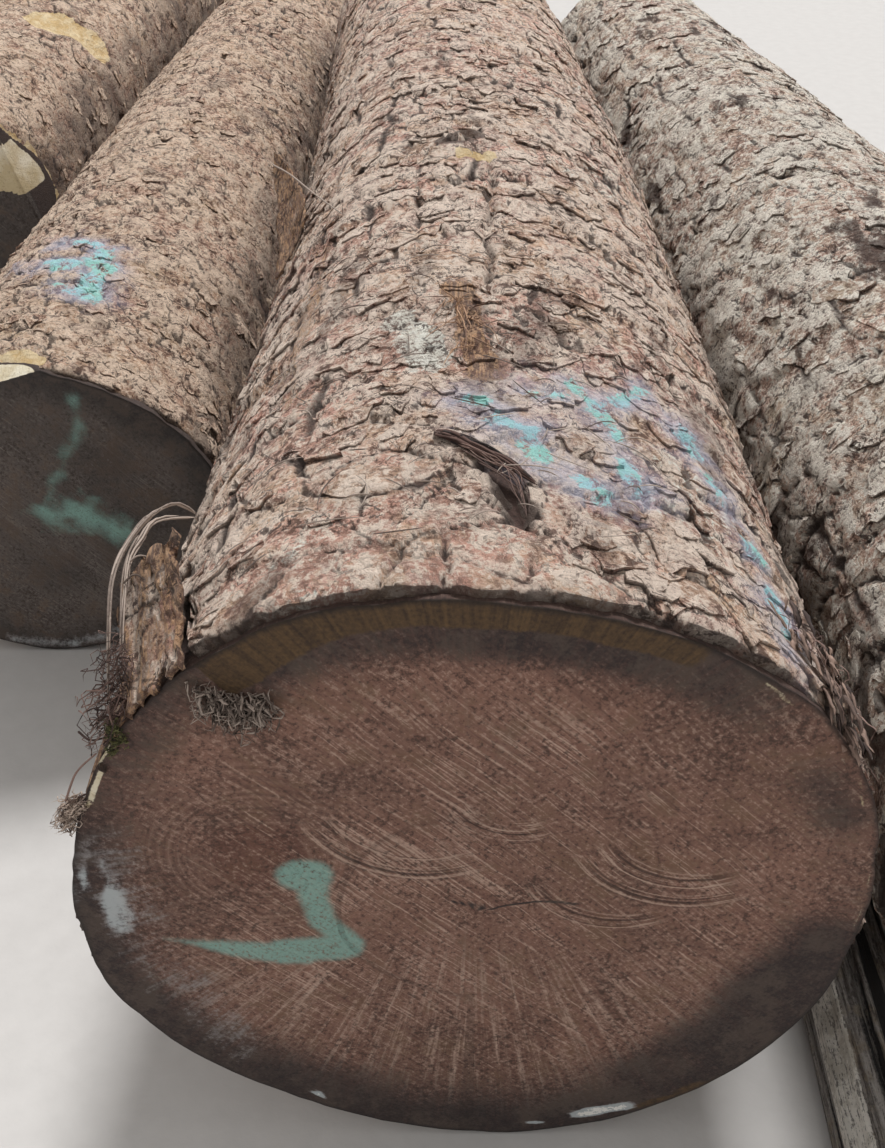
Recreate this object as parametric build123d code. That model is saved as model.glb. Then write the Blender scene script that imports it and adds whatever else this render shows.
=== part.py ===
from build123d import *
import os
import numpy as np
from dataclasses import dataclass

# A stack of sawlogs: four butt logs lie side by side on level ground, their cut ends staggered,
# and a weathered offcut is wedged in front between the two on the right.
# Lengths are millimetres. Every log runs along +Y, away from the viewer, and +Z is up.
# The origin is the middle of the stack's footprint, on the ground.

# Sawn length, and the play left where two round flanks meet
log_length = 3000        # trade length of a sawlog
seat_gap = 0.5

# Girth: mean radius over bark, before taper and butt swell
centre_radius = 350
left_radius = 258
far_left_radius = 280
right_radius = 310

# How far each butt face stands behind the centre log's
left_setback = 805
far_left_setback = 1870
right_setback = 100

# Extra radius at the butt, and the length in which it falls to a third
centre_swell = 17
centre_swell_reach = 450
left_swell = 8
left_swell_reach = 350
far_left_swell = 8
far_left_swell_reach = 350
right_swell = 22
right_swell_reach = 400

# Sideways bend at mid length, towards +X
centre_bow = 38
left_bow = -20
far_left_bow = 10
right_bow = -1

# Strips of bark torn off the centre log at its left front
torn_depth = 12
upper_strip_length = 60
middle_strip_length = 120
lower_strip_length = 85

# Low rounded humps of a log's form, where branches stood and grew over
hump_height = 8
hump_reach = 240         # distance from the crest at which it has fallen to a third

# Slanting cuts through the edge of a butt: a point of the cut on the butt face, right of the axis
# and above the ground, degrees by which it leans down towards +X and by which it climbs inwards
left_bevel_right = 0
left_bevel_height = 485
left_bevel_lean = -17
left_bevel_climb = 20.4
far_left_bevel_right = 209
far_left_bevel_height = 446
far_left_bevel_lean = 74
far_left_bevel_climb = 20.6
far_left_bevel_reach = 70    # length over which it takes away the flank that would touch the left log

# Weathered offcut wedged against the right log
chock_width = 100
chock_height = 100
chock_length = 450
chock_setback = -170      # y of its near end
chock_heading = 1.5       # degrees off +Y, towards +X
chock_arris = 5           # radius of its worn arrises
chock_wane = 14           # corner lost along the top
shake_place = 0.45        # drying crack along the top, as a share of the width
shake_depth = 16
shake_width = 7

# How finely the round forms are drawn and compared
points_round = 24        # points on one cross-section
sections_along = 14      # cross-sections from the butt to the top end
section_crowding = 1.4   # power by which they crowd towards the butt
torn_strip_points = 8    # points on the arc of a torn strip
fine_round = 720         # points on a cross-section where its flanks and lowest point are sought
levels_up = 80           # heights at which two flanks are compared
stations_along = 60      # places along a pair of pieces where they are compared


@dataclass
class Log:
    """One log. Angles are radians round its axis, from +X towards +Z, seen from the butt."""
    name: str
    setback: float       # y of the butt face
    girth_radius: float  # mean radius over bark, before taper and swell
    taper: float         # radius lost per unit of length
    swell: float         # extra radius at the butt
    swell_reach: float   # length in which the swell falls to a third
    lobes: list          # (lobes round the log, share of the radius, degrees of the first crest)
    humps: list          # (degrees of the crest, share of the length, share of the hump height)
    heading: float       # degrees by which the log points off +Y, towards +X
    bow: float           # sideways bend at mid length
    axis_x: float = 0    # x of the axis at the butt

    def radius(self, angle, along):
        """Mean radius less taper plus butt swell, rippled by a sum of cosines round the log, plus humps."""
        mean = self.girth_radius - self.taper * along + self.swell * np.exp(-along / self.swell_reach)
        ripple = sum(share * np.cos(count * (angle - np.radians(crest)))
                     for count, share, crest in self.lobes)
        return mean * (1 + ripple) + self.hump(angle, along)

    def hump(self, angle, along):
        """Height added by the humps: each is a bell curve round its crest."""
        added = 0
        for crest, place, share in self.humps:
            turned = (angle - np.radians(crest) + np.pi) % (2 * np.pi) - np.pi
            beside = turned * self.girth_radius / hump_reach
            beyond = (along - place * log_length) / hump_reach
            added = added + share * hump_height * np.exp(-beside ** 2 - beyond ** 2)
        return added

    def centre_x(self, along):
        """The axis leaves the butt along its heading and bends sideways as half a sine wave."""
        drift = along * np.tan(np.radians(self.heading))
        return self.axis_x + drift + self.bow * np.sin(np.pi * along / log_length)

    def axis_height(self, along):
        """Height of the axis when the lowest point of the cross-section touches the ground."""
        angle = np.linspace(0, 2 * np.pi, fine_round, endpoint=False)
        return -(self.radius(angle, along) * np.sin(angle)).min()

    def ring(self, along, count):
        """x and z of a cross-section at evenly spaced angles."""
        angle = np.linspace(0, 2 * np.pi, count, endpoint=False)
        r = self.radius(angle, along)
        return self.centre_x(along) + r * np.cos(angle), self.axis_height(along) + r * np.sin(angle)

    def crown(self, along):
        """Height of the highest point of a cross-section above the ground."""
        return self.ring(along, fine_round)[1].max()

    def flank(self, side, along, heights):
        """x of the right flank (side 1) or left flank (side -1) at heights above the ground."""
        x, z = self.ring(along, fine_round)
        on_side = side * (x - self.centre_x(along)) > 0
        order = np.argsort(z[on_side])
        return np.interp(heights, z[on_side][order], x[on_side][order])


# Centre log, the nearest and thickest
centre = Log("log_centre", setback=0, girth_radius=centre_radius, taper=0.013,
             swell=centre_swell, swell_reach=centre_swell_reach,
             lobes=[(2, 0.026, -75), (3, 0.008, 49), (4, 0.014, 25), (5, 0.009, -21)],
             humps=[(93, 0.37, 1.3), (62, 0.24, 0.7), (122, 0.60, 1.0), (70, 0.80, 0.9), (42, 0.52, 0.7)],
             heading=-0.6, bow=centre_bow)

# Left log, squat in section, its butt well behind the centre log's
left = Log("log_left", setback=left_setback, girth_radius=left_radius, taper=0.013,
           swell=left_swell, swell_reach=left_swell_reach,
           lobes=[(2, 0.045, 0), (3, 0.012, 100), (5, 0.009, 30)],
           humps=[(100, 0.24, 0.7), (82, 0.52, 1.0), (96, 0.78, 0.8)],
           heading=1.6, bow=left_bow)

# Far left log, further back again
far_left = Log("log_far_left", setback=far_left_setback, girth_radius=far_left_radius, taper=0.011,
               swell=far_left_swell, swell_reach=far_left_swell_reach,
               lobes=[(2, 0.018, 40), (3, 0.015, 10), (4, 0.009, 70)],
               humps=[(88, 0.32, 0.8), (110, 0.58, 1.0), (94, 0.84, 0.8)],
               heading=1.3, bow=far_left_bow)

# Right log, with the widest butt swell
right = Log("log_right", setback=right_setback, girth_radius=right_radius, taper=0.022,
            swell=right_swell, swell_reach=right_swell_reach,
            lobes=[(2, 0.015, 60), (3, 0.012, 240), (5, 0.009, 100)],
            humps=[(105, 0.16, 1.0), (136, 0.36, 0.9), (60, 0.40, 1.1), (100, 0.58, 1.2),
                   (48, 0.72, 0.9), (122, 0.84, 1.0)],
            heading=-4.3, bow=right_bow)

# Torn strips: from angle, to angle, length
torn_strips = [(138, 149, upper_strip_length), (149, 163, middle_strip_length),
               (163, 174, lower_strip_length)]


def shared_run(start, end):
    """Places along Y, close together, between two ends."""
    return np.linspace(start, end, stations_along)


def least_gap(west, east, cut_away=0):
    """Smallest level distance from the right flank of one log to the left flank of the next."""
    start = max(west.setback, east.setback) + cut_away
    end = min(west.setback, east.setback) + log_length
    gaps = []
    for y in shared_run(start, end):
        a, b = y - west.setback, y - east.setback
        heights = np.linspace(0, min(west.crown(a), east.crown(b)), levels_up)
        gaps.append((east.flank(-1, b, heights) - west.flank(1, a, heights)).min())
    return min(gaps)


def make_log(log):
    """Straight runs between closely spaced smooth cross-sections, flat at both cut ends."""
    wires = []
    for i in range(sections_along):
        along = log_length * (i / (sections_along - 1)) ** section_crowding
        points = [(x, log.setback + along, z) for x, z in zip(*log.ring(along, points_round))]
        even = [k / points_round for k in range(points_round + 1)]
        wires.append(Wire([Edge.make_spline(points, periodic=True, parameters=even)]))
    return Solid.make_loft(wires, ruled=True)


def bevel_cutter(log, right_by, height, lean, climb):
    """A block that stands on the slanting cut and covers all the wood the cut takes off."""
    reach = log.girth_radius * 2
    block = Box(2 * reach, 2 * reach, reach, align=(Align.CENTER, Align.CENTER, Align.MIN))
    place = Location((log.axis_x + right_by, log.setback, height))
    return (place * Location((0, 0, 0), (0, lean, 0)) * Location((0, 0, 0), (climb, 0, 0)) * block).solid()


def torn_strip(log, start, end, length):
    """The bark of one torn strip: the ring between two angles, from the torn bed outwards."""
    angles = np.radians(np.linspace(start, end, torn_strip_points))
    r = log.radius(angles, 0)

    def arc(depth):
        x = log.axis_x + (r - depth) * np.cos(angles)
        z = log.axis_height(0) + (r - depth) * np.sin(angles)
        return [(p, log.setback - torn_depth, q) for p, q in zip(x, z)]

    outline = arc(torn_depth) + arc(-3 * torn_depth)[::-1]
    return Solid.extrude(Face(Wire.make_polygon(outline, close=True)), Vector(0, length + torn_depth, 0))


def chock_section():
    """Corners of the sawn section, from its lower left: waney top left corner, crack in the top."""
    w, h = chock_width, chock_height
    crack = w * shake_place
    return [(0, 0), (w, 0), (w, h), (crack + shake_width / 2, h), (crack, h - shake_depth),
            (crack - shake_width / 2, h), (chock_wane, h), (0, h - chock_wane)]


def chock_right_face(log):
    """x of the chock's right face at its far end, where its top arris bears on a log's flank."""
    far = chock_setback + chock_length
    round_top = np.linspace(0, np.pi / 2, levels_up)
    heights = chock_height - chock_arris * (1 - np.sin(round_top))
    inset = chock_arris * (1 - np.cos(round_top))
    places = []
    for y in shared_run(log.setback, far):
        drift = (far - y) * np.tan(np.radians(chock_heading))
        places.append((log.flank(-1, y - log.setback, heights) + inset).min() + drift)
    return min(places) - seat_gap


def make_chock(log):
    """The sawn baulk with worn arrises, turned a little and slid against the log."""
    corners = [(x, 0, z) for x, z in chock_section()]
    baulk = Solid.extrude(Face(Wire.make_polygon(corners, close=True)), Vector(0, chock_length, 0))
    arrises = [e for e in baulk.edges().filter_by(Axis.Y)
               if e.center().X > chock_width - chock_arris / 2 or e.center().X < chock_arris / 2]
    baulk = baulk.fillet(chock_arris, arrises)
    far_right = (chock_width, chock_length, 0)
    far_place = (chock_right_face(log), chock_setback + chock_length, 0)
    return baulk.moved(Location(far_place) * Location((0, 0, 0), (0, 0, -chock_heading))
                       * Location([-c for c in far_right]))


# Each neighbour is slid level against the log beside it
right.axis_x += seat_gap - least_gap(centre, right)
left.axis_x -= seat_gap - least_gap(left, centre)
far_left.axis_x -= seat_gap - least_gap(far_left, left, far_left_bevel_reach)

log_centre = make_log(centre)
for start, end, length in torn_strips:
    log_centre = log_centre - torn_strip(centre, start, end, length)
log_left = make_log(left) - bevel_cutter(left, left_bevel_right, left_bevel_height,
                                         left_bevel_lean, left_bevel_climb)
log_far_left = make_log(far_left) - bevel_cutter(far_left, far_left_bevel_right, far_left_bevel_height,
                                                 far_left_bevel_lean, far_left_bevel_climb)
log_right = make_log(right)
chock_timber = make_chock(right)

nodes = {"log_centre": log_centre, "log_left": log_left, "log_far_left": log_far_left,
         "log_right": log_right, "chock_timber": chock_timber}

# The footprint's middle becomes the origin
box = Compound(children=[Compound([s]) if isinstance(s, Solid) else s for s in nodes.values()]).bounding_box()
to_origin = Location((-box.center().X, -box.center().Y, -box.min.Z))

os.makedirs("parts", exist_ok=True)
for name, shape in nodes.items():
    export_step(shape.moved(to_origin), f"parts/{name}.step")
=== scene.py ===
"""A stack of sawlogs with their bark on, butts staggered, and a weathered offcut that chocks one of them.

Metres, +Y along the logs away from the viewer, +Z up. A log is worked out on its unrolled skin: the turn
round the log, 0 to 1 from its lowest line, anticlockwise seen from the butt, and the length along it.
"""
from dataclasses import dataclass

import bpy
import numpy as np
from mathutils import Matrix, Vector


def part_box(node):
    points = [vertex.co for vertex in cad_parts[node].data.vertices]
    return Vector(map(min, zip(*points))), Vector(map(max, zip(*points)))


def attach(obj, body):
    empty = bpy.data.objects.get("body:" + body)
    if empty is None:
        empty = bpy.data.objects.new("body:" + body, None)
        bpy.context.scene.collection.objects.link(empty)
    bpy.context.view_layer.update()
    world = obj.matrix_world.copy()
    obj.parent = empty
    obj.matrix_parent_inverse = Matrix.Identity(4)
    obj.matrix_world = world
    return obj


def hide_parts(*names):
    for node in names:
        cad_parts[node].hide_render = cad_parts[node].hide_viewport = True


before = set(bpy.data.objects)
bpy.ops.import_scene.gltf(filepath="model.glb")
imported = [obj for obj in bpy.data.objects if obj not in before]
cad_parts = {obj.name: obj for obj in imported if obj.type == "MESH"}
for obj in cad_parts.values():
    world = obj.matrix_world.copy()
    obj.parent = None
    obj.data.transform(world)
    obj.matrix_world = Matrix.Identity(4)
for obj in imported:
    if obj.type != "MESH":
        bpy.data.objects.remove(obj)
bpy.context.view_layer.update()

# What the logs share
bark_thickness = 0.016
hump_height, hump_reach = 0.008, 0.240
underside_clearance = 0.0004
wall_depth = 0.012               # the bark's inner wall lies this far inside the wood's surface
inner_rows = 13                  # rings of that wall
upright = (0.31, 0.22, 0.92)     # a way that no strand runs, from which their rings are set square
strand_stops, fibre_stops = 26, 7


def ease(share):
    """Smooth step from 0 to 1: three shares squared less two cubed."""
    share = np.clip(share, 0, 1)
    return share * share * (3 - 2 * share)


def rise(values, low, high):
    """0 below the low value, 1 above the high one, eased between."""
    return ease((values - low) / (high - low))


def fall(values, low, high):
    """1 below the low value, 0 above the high one, eased between."""
    return 1 - rise(values, low, high)


def scatter(i, j, seed):
    """A number from 0 to 1 for each lattice point: products with odd numbers, folded on themselves."""
    n = (i * 374761393 + j * 668265263 + seed * 974634777) & 0xFFFFFFFF
    n = ((n ^ (n >> 13)) * 1274126177) & 0xFFFFFFFF
    return ((n ^ (n >> 16)) & 0xFFFFFF) / 0xFFFFFF


class Skin:
    """Points on a log's unrolled surface, and the random patterns that bark and sawn wood are made of."""

    def __init__(self, turn, along, girth):
        self.turn, self.along = np.broadcast_arrays(turn, along)
        self.girth = girth

    def noise(self, size, seed, stretch=1.0):
        """Random heights on a lattice of cells that closes round the log, eased between: -1 to 1."""
        cells = max(3, int(round(self.girth / size)))
        u, v = self.turn * cells, self.along / (size * stretch)
        i, j = np.floor(u).astype(np.int64), np.floor(v).astype(np.int64)
        across, up = ease(u - i), ease(v - j)
        near = scatter(i % cells, j, seed) * (1 - across) + scatter((i + 1) % cells, j, seed) * across
        far = scatter(i % cells, j + 1, seed) * (1 - across) + scatter((i + 1) % cells, j + 1, seed) * across
        return 2 * (near * (1 - up) + far * up) - 1

    def rough(self, size, seed, octaves=4, stretch=1.0):
        """Noise at falling sizes, each half as large and half as strong as the one before."""
        return sum(self.noise(size / 2 ** k, seed + 31 * k, stretch) / 2 ** k for k in range(octaves)) / 1.6

    def patches(self, size, seed, octaves, low, high):
        """Patches of 1 with eased borders where rough noise goes from the low value to the high one."""
        return rise(self.rough(size, seed, octaves), low, high)

    def bent(self, size, amount, seed):
        """The same points, pushed about by noise, so that what is drawn on them wanders."""
        return Skin(self.turn + amount * self.rough(size, seed, 3) / self.girth,
                    self.along + amount * self.rough(size, seed + 7, 3), self.girth)

    def plates(self, size, seed, stretch=1.5):
        """Plates round seeds strewn on a lattice. Gives the distance to the nearest plate's border,
        that plate's random number, the place along it, -1 to 1 and over, and which way the border
        lies: 1 beyond, -1 towards the butt."""
        cells = max(3, int(round(self.girth / size)))
        wide, long = self.girth / cells, size * stretch
        u, v = self.turn * cells, self.along / long
        i, j = np.floor(u).astype(np.int64), np.floor(v).astype(np.int64)
        first = np.full(u.shape, np.inf)
        second = np.full(u.shape, np.inf)
        tone, first_x, first_y, second_x, second_y = (np.zeros(u.shape) for _ in range(5))
        for di in (-1, 0, 1):
            for dj in (-1, 0, 1):
                a, b = (i + di) % cells, j + dj
                x = (i + di + 0.1 + 0.8 * scatter(a, b, seed) - u) * wide
                y = (j + dj + 0.1 + 0.8 * scatter(a, b, seed + 1) - v) * long
                far = np.hypot(x, y)
                nearest, next_one = far < first, (far >= first) & (far < second)
                second = np.where(nearest, first, np.where(next_one, far, second))
                second_x = np.where(nearest, first_x, np.where(next_one, x, second_x))
                second_y = np.where(nearest, first_y, np.where(next_one, y, second_y))
                first = np.where(nearest, far, first)
                first_x, first_y = np.where(nearest, x, first_x), np.where(nearest, y, first_y)
                tone = np.where(nearest, scatter(a, b, seed + 2), tone)
        apart = np.hypot(first_x - second_x, first_y - second_y)
        border = (second ** 2 - first ** 2) / np.maximum(2 * apart, 1e-6)
        return border, tone, -first_y / (long / 2), (second_y - first_y) / np.maximum(apart, 1e-6)

    def from_path(self, stops):
        """Distance to a broken line; its stops are (degrees from +X towards +Z, metres along)."""
        stops = [((angle + 90) % 360 / 360 * self.girth, along) for angle, along in stops]
        return Skin(self.turn * self.girth, self.along, 1.0).from_line(stops)

    def from_line(self, stops):
        """Distance to the nearest of the straight runs between stops, all in the skin's own coordinates."""
        x, y = self.turn, self.along
        best = np.full(x.shape, np.inf)
        for (x0, y0), (x1, y1) in zip(stops, stops[1:]):
            run = max((x1 - x0) ** 2 + (y1 - y0) ** 2, 1e-12)
            share = np.clip(((x - x0) * (x1 - x0) + (y - y0) * (y1 - y0)) / run, 0, 1)
            best = np.minimum(best, np.hypot(x - x0 - share * (x1 - x0), y - y0 - share * (y1 - y0)))
        return best


@dataclass
class Log:
    """A log's round form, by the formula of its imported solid: taper, butt swell, lobes and bow."""
    node: str
    girth_radius: float
    taper: float
    swell: float
    swell_reach: float
    lobes: list
    humps: list
    heading: float
    bow: float

    def __post_init__(self):
        low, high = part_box(self.node)
        self.butt_y, self.length = low.y, high.y - low.y
        self.girth = 2 * np.pi * (self.girth_radius + self.swell)
        angles = np.linspace(0, 2 * np.pi, 361)
        self.stations = np.linspace(0, self.length, 31)
        rings = self.radius(angles[None], self.stations[:, None])
        self.heights = -(rings * np.sin(angles)).min(1)
        self.axis_x = 0.0
        reach = self.centre_x(self.stations)[:, None] + rings * np.cos(angles)
        self.axis_x = high.x - reach.max()

    def radius(self, angle, along):
        """Mean radius less taper plus butt swell, rippled by a sum of cosines round the log, plus low
        humps: a bell curve round each crest."""
        mean = self.girth_radius - self.taper * along + self.swell * np.exp(-along / self.swell_reach)
        total = mean * (1 + sum(share * np.cos(count * (angle - np.radians(crest)))
                                for count, share, crest in self.lobes))
        for crest, place, share in self.humps:
            beside = ((angle - np.radians(crest) + np.pi) % (2 * np.pi)
                      - np.pi) * self.girth_radius / hump_reach
            beyond = (along - place * self.length) / hump_reach
            total = total + share * hump_height * np.exp(-beside ** 2 - beyond ** 2)
        return total

    def centre_x(self, along):
        """The axis leaves the butt along its heading and bends sideways as half a sine wave."""
        drift = along * np.tan(np.radians(self.heading))
        return self.axis_x + drift + self.bow * np.sin(np.pi * along / self.length)

    def place(self, turn, along, out=0.0, share=1.0):
        """Points at a share of the radius plus a height, none lower than the ground."""
        angle = 2 * np.pi * turn - np.pi / 2
        r = self.radius(angle, np.maximum(along, 0)) * share + out
        x = self.centre_x(along) + r * np.cos(angle)
        z = np.interp(along, self.stations, self.heights) + r * np.sin(angle)
        return np.stack(np.broadcast_arrays(x, self.butt_y + along, np.maximum(z, underside_clearance)), -1)

    def skin(self, turn, along):
        """Points of this log's unrolled surface."""
        return Skin(turn, along, self.girth)


@dataclass
class Bark:
    """How a log's bark is broken up. Heights and widths in metres."""
    seed: int
    plate: float = 0.052          # width of a plate
    stretch: float = 1.7          # its length, as a multiple of its width
    level: float = 0.0020         # a plate stands this much above or below its neighbours
    lift: float = 0.0024          # and its edge towards the butt is lifted by this
    small_lift: float = 0.0011    # lift of the small scales on a plate
    layer: float = 0.0014         # thickness of a shed layer of scales
    crack_depth: float = 0.0045
    crack_width: float = 0.0050
    wave: float = 0.0010          # broad swells and dips
    grit: float = 0.0007
    furrows: float = 1.0          # how much of the log has furrows along it


@dataclass
class Cut:
    """A slanting cut through a butt's edge: a point of it on the face, right of the axis and above the
    ground, and the degrees by which it leans down towards +X and climbs inwards."""
    right_by: float
    height: float
    lean: float
    climb: float

    def beyond(self, log, points):
        """How far points stand out of the cut, and the direction square to it."""
        lean, climb = np.radians(self.lean), np.radians(self.climb)
        square = np.array([np.cos(climb) * np.sin(lean), -np.sin(climb), np.cos(climb) * np.cos(lean)])
        return (points - np.array([log.axis_x + self.right_by, log.butt_y, self.height])) @ square, square


centre = Log("log_centre", 0.350, 0.013, 0.017, 0.45,
             [(2, 0.026, -75), (3, 0.008, 49), (4, 0.014, 25), (5, 0.009, -21)],
             [(93, 0.37, 1.3), (62, 0.24, 0.7), (122, 0.60, 1.0), (70, 0.80, 0.9), (42, 0.52, 0.7)],
             -0.6, 0.038)
left = Log("log_left", 0.258, 0.013, 0.008, 0.35, [(2, 0.045, 0), (3, 0.012, 100), (5, 0.009, 30)],
           [(100, 0.24, 0.7), (82, 0.52, 1.0), (96, 0.78, 0.8)], 1.6, -0.020)
far_left = Log("log_far_left", 0.280, 0.011, 0.008, 0.35, [(2, 0.018, 40), (3, 0.015, 10), (4, 0.009, 70)],
               [(88, 0.32, 0.8), (110, 0.58, 1.0), (94, 0.84, 0.8)], 1.3, 0.010)
right = Log("log_right", 0.310, 0.022, 0.022, 0.40, [(2, 0.015, 60), (3, 0.012, 240), (5, 0.009, 100)],
            [(105, 0.16, 1.0), (136, 0.36, 0.9), (60, 0.40, 1.1), (100, 0.58, 1.2), (48, 0.72, 0.9),
             (122, 0.84, 1.0)], -4.3, -0.001)

left_cut = Cut(0.0, 0.485, -17, 20.4)
far_left_cut = Cut(0.209, 0.446, 74, 20.6)


def terraces(values, steps, tread=0.75):
    """Values gathered into flat treads with short steep risers between them."""
    scaled = values * steps
    whole = np.floor(scaled)
    return (whole + ease((scaled - whole - tread) / (1 - tread))) / steps


def bark_pattern(skin, bark):
    """Height of the bark and what its colour follows.

    Overlapping plates, each lifted towards the butt, with small scales lifted the same way on top, less
    the layers that have been shed in patches and a crack here and there along a border, less wavy
    furrows along the log that open in places, plus broad swells and grit. The painted shade lies where a
    plate ends under the raised edge of the next one, and in the furrows; a painted highlight, with a
    little wear, lies along each plate's raised edge towards the butt.
    """
    wander = skin.bent(0.05, 0.016, bark.seed).bent(0.014, 0.005, bark.seed + 5)
    border, tone, along, beyond = wander.plates(bark.plate, bark.seed + 11, bark.stretch)
    _, small_tone, small_along, _ = wander.plates(bark.plate * 0.42, bark.seed + 21, 1.2)
    open_share = skin.patches(0.12, bark.seed + 41, 2, -0.5, 0.6)
    crack = fall(border, 0.0, bark.crack_width * (0.35 + 0.9 * open_share)) * (0.2 + 0.8 * open_share)
    ragged = skin.bent(0.03, 0.010, bark.seed + 6).rough(bark.plate * 1.9, bark.seed + 51, 4, 1.6)
    shed = terraces(ragged, 2.5, 0.85)
    lanes = round(skin.girth / (1.5 * bark.plate))
    lane = lanes * skin.bent(0.16, 0.022, bark.seed + 81).bent(0.03, 0.006, bark.seed + 82).turn
    furrow = np.abs(lane - np.round(lane)) * skin.girth / lanes
    furrowed = skin.patches(0.10, bark.seed + 83, 2, -0.2, 0.5) * bark.furrows
    height = (bark.level * (2 * tone - 1)
              - bark.lift * np.clip(along, -1, 1) * (0.3 + tone)
              - bark.small_lift * np.clip(small_along, -1, 1) * (0.4 + small_tone)
              + bark.layer * 2.5 * shed
              + bark.wave * skin.rough(0.30, bark.seed + 61, 3, 1.6)
              + bark.grit * skin.rough(0.012, bark.seed + 71, 2)
              - bark.crack_depth * crack
              - 0.0030 * fall(furrow, 0.001, 0.008) * furrowed)
    shade = fall(border, 0.0, 0.016) * np.clip(beyond, 0, 1) * (0.35 + 0.65 * open_share)
    shade = np.maximum(shade, 0.9 * fall(furrow, 0.001, 0.011) * furrowed)
    # Painted highlight, with a little wear, along each plate's raised edge towards the butt
    worn = fall(border, 0.001, 0.016) * np.clip(-beyond, 0, 1)
    beside = 1 - np.abs(np.clip(beyond, -1, 1))
    open_border = border - (0.020 + 0.036 * np.clip(beyond, 0, 1) + 0.026 * beside) * bark.plate * open_share
    return {"height": height,
            "crack": np.minimum(open_border, furrow + 0.010 * (1 - furrowed) - 0.0012),
            "shade": shade, "worn": worn, "tone": 0.65 * tone + 0.35 * small_tone}


def columns_round(count):
    """Turns round a log, close together on its upper side and further apart below."""
    coarse = 0.30
    fine = np.linspace(0, 1, 4001)
    weight = coarse + (1 - coarse) * rise(np.sin(2 * np.pi * fine - np.pi / 2), -0.45, -0.1)
    total = np.concatenate([[0], np.cumsum((weight[1:] + weight[:-1]) / 2)])
    return np.interp(np.arange(count) / count, total / total[-1], fine)


def rows_along(count, growth):
    """Shares of the length whose steps grow steadily, the last one so many times the first."""
    return (growth ** np.linspace(0, 1, count) - 1) / (growth - 1)


def ring_quads(rows, columns):
    """Quads between the rings of a tube that runs away from the viewer, faces outwards."""
    index = np.arange(rows * columns).reshape(rows, columns)
    beside = np.roll(index, -1, axis=1)
    return np.stack([index[:-1], index[1:], beside[1:], beside[:-1]], -1).reshape(-1, 4)


def end_fans(rows, columns):
    """Triangles that close a tube's first ring and its last one, each round a middle point of its own;
    the two middle points come after all the rings."""
    front, pole = np.arange(columns), np.full(columns, rows * columns)
    back = front + (rows - 1) * columns
    return np.concatenate([np.stack([pole, front, np.roll(front, -1)], -1),
                           np.stack([pole + 1, np.roll(back, -1), back], -1)])


def sheet(grid):
    """Quads between the points of a sheet, and the points round its edge in order."""
    quads = np.stack([grid[:-1, :-1], grid[:-1, 1:], grid[1:, 1:], grid[1:, :-1]], -1).reshape(-1, 4)
    return quads, np.concatenate([grid[0, :-1], grid[:-1, -1], grid[-1, :0:-1], grid[:0:-1, 0]])


def wall(ring, further):
    """Quads between a ring of points and the ring whose numbers are so much higher."""
    beside = np.roll(ring, -1)
    return np.stack([ring, ring + further, beside + further, beside], -1)


def add_object(name, data):
    """Puts a mesh, a light or the camera into the scene."""
    holder = bpy.data.objects.new(name, data)
    bpy.context.scene.collection.objects.link(holder)
    return holder


def add_mesh(name, points, quads, finish, fields=None, triangles=None):
    """Puts arrays of points and corners into a mesh, with its named fields and its finish."""
    triangles = np.zeros((0, 3), int) if triangles is None else triangles
    points = np.asarray(points, float).reshape(-1, 3)
    mesh = bpy.data.meshes.new(name)
    mesh.vertices.add(len(points))
    mesh.vertices.foreach_set("co", points.ravel())
    corners = np.concatenate([quads.ravel(), triangles.ravel()])
    sizes = np.concatenate([np.full(len(quads), 4), np.full(len(triangles), 3)])
    mesh.loops.add(len(corners))
    mesh.loops.foreach_set("vertex_index", corners)
    mesh.polygons.add(len(sizes))
    mesh.polygons.foreach_set("loop_start", np.concatenate([[0], np.cumsum(sizes)[:-1]]))
    mesh.polygons.foreach_set("use_smooth", np.full(len(sizes), True))
    mesh.materials.append(finish)
    for field, values in (fields or {}).items():
        layer = mesh.attributes.new(field, "FLOAT", "POINT")
        layer.data.foreach_set("value", np.ascontiguousarray(np.asarray(values, float).ravel(), np.float32))
    mesh.update(calc_edges=True)
    mesh.validate()
    return add_object(name, mesh)


class Link:
    """An output of a shader node. Expressions on numbers add Math nodes."""

    def __init__(self, shader, socket):
        self.shader, self.socket = shader, socket

    def math(self, operation, *values):
        """A Math node on links and plain numbers."""
        return self.shader.node("ShaderNodeMath", {"operation": operation}, dict(enumerate(values)))

    def __add__(self, other):
        return self.math("ADD", self, other)

    def __radd__(self, other):
        return self.math("ADD", other, self)

    def __sub__(self, other):
        return self.math("SUBTRACT", self, other)

    def __rsub__(self, other):
        return self.math("SUBTRACT", other, self)

    def __mul__(self, other):
        return self.math("MULTIPLY", self, other)

    def __rmul__(self, other):
        return self.math("MULTIPLY", other, self)

    def floor(self):
        """The whole number below."""
        return self.math("FLOOR", self)

    def most(self, other):
        """The larger of the two."""
        return self.math("MAXIMUM", self, other)

    def swing(self, amount):
        """A noise about its middle value, so many times as strong."""
        return amount * (self - 0.5)


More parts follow.
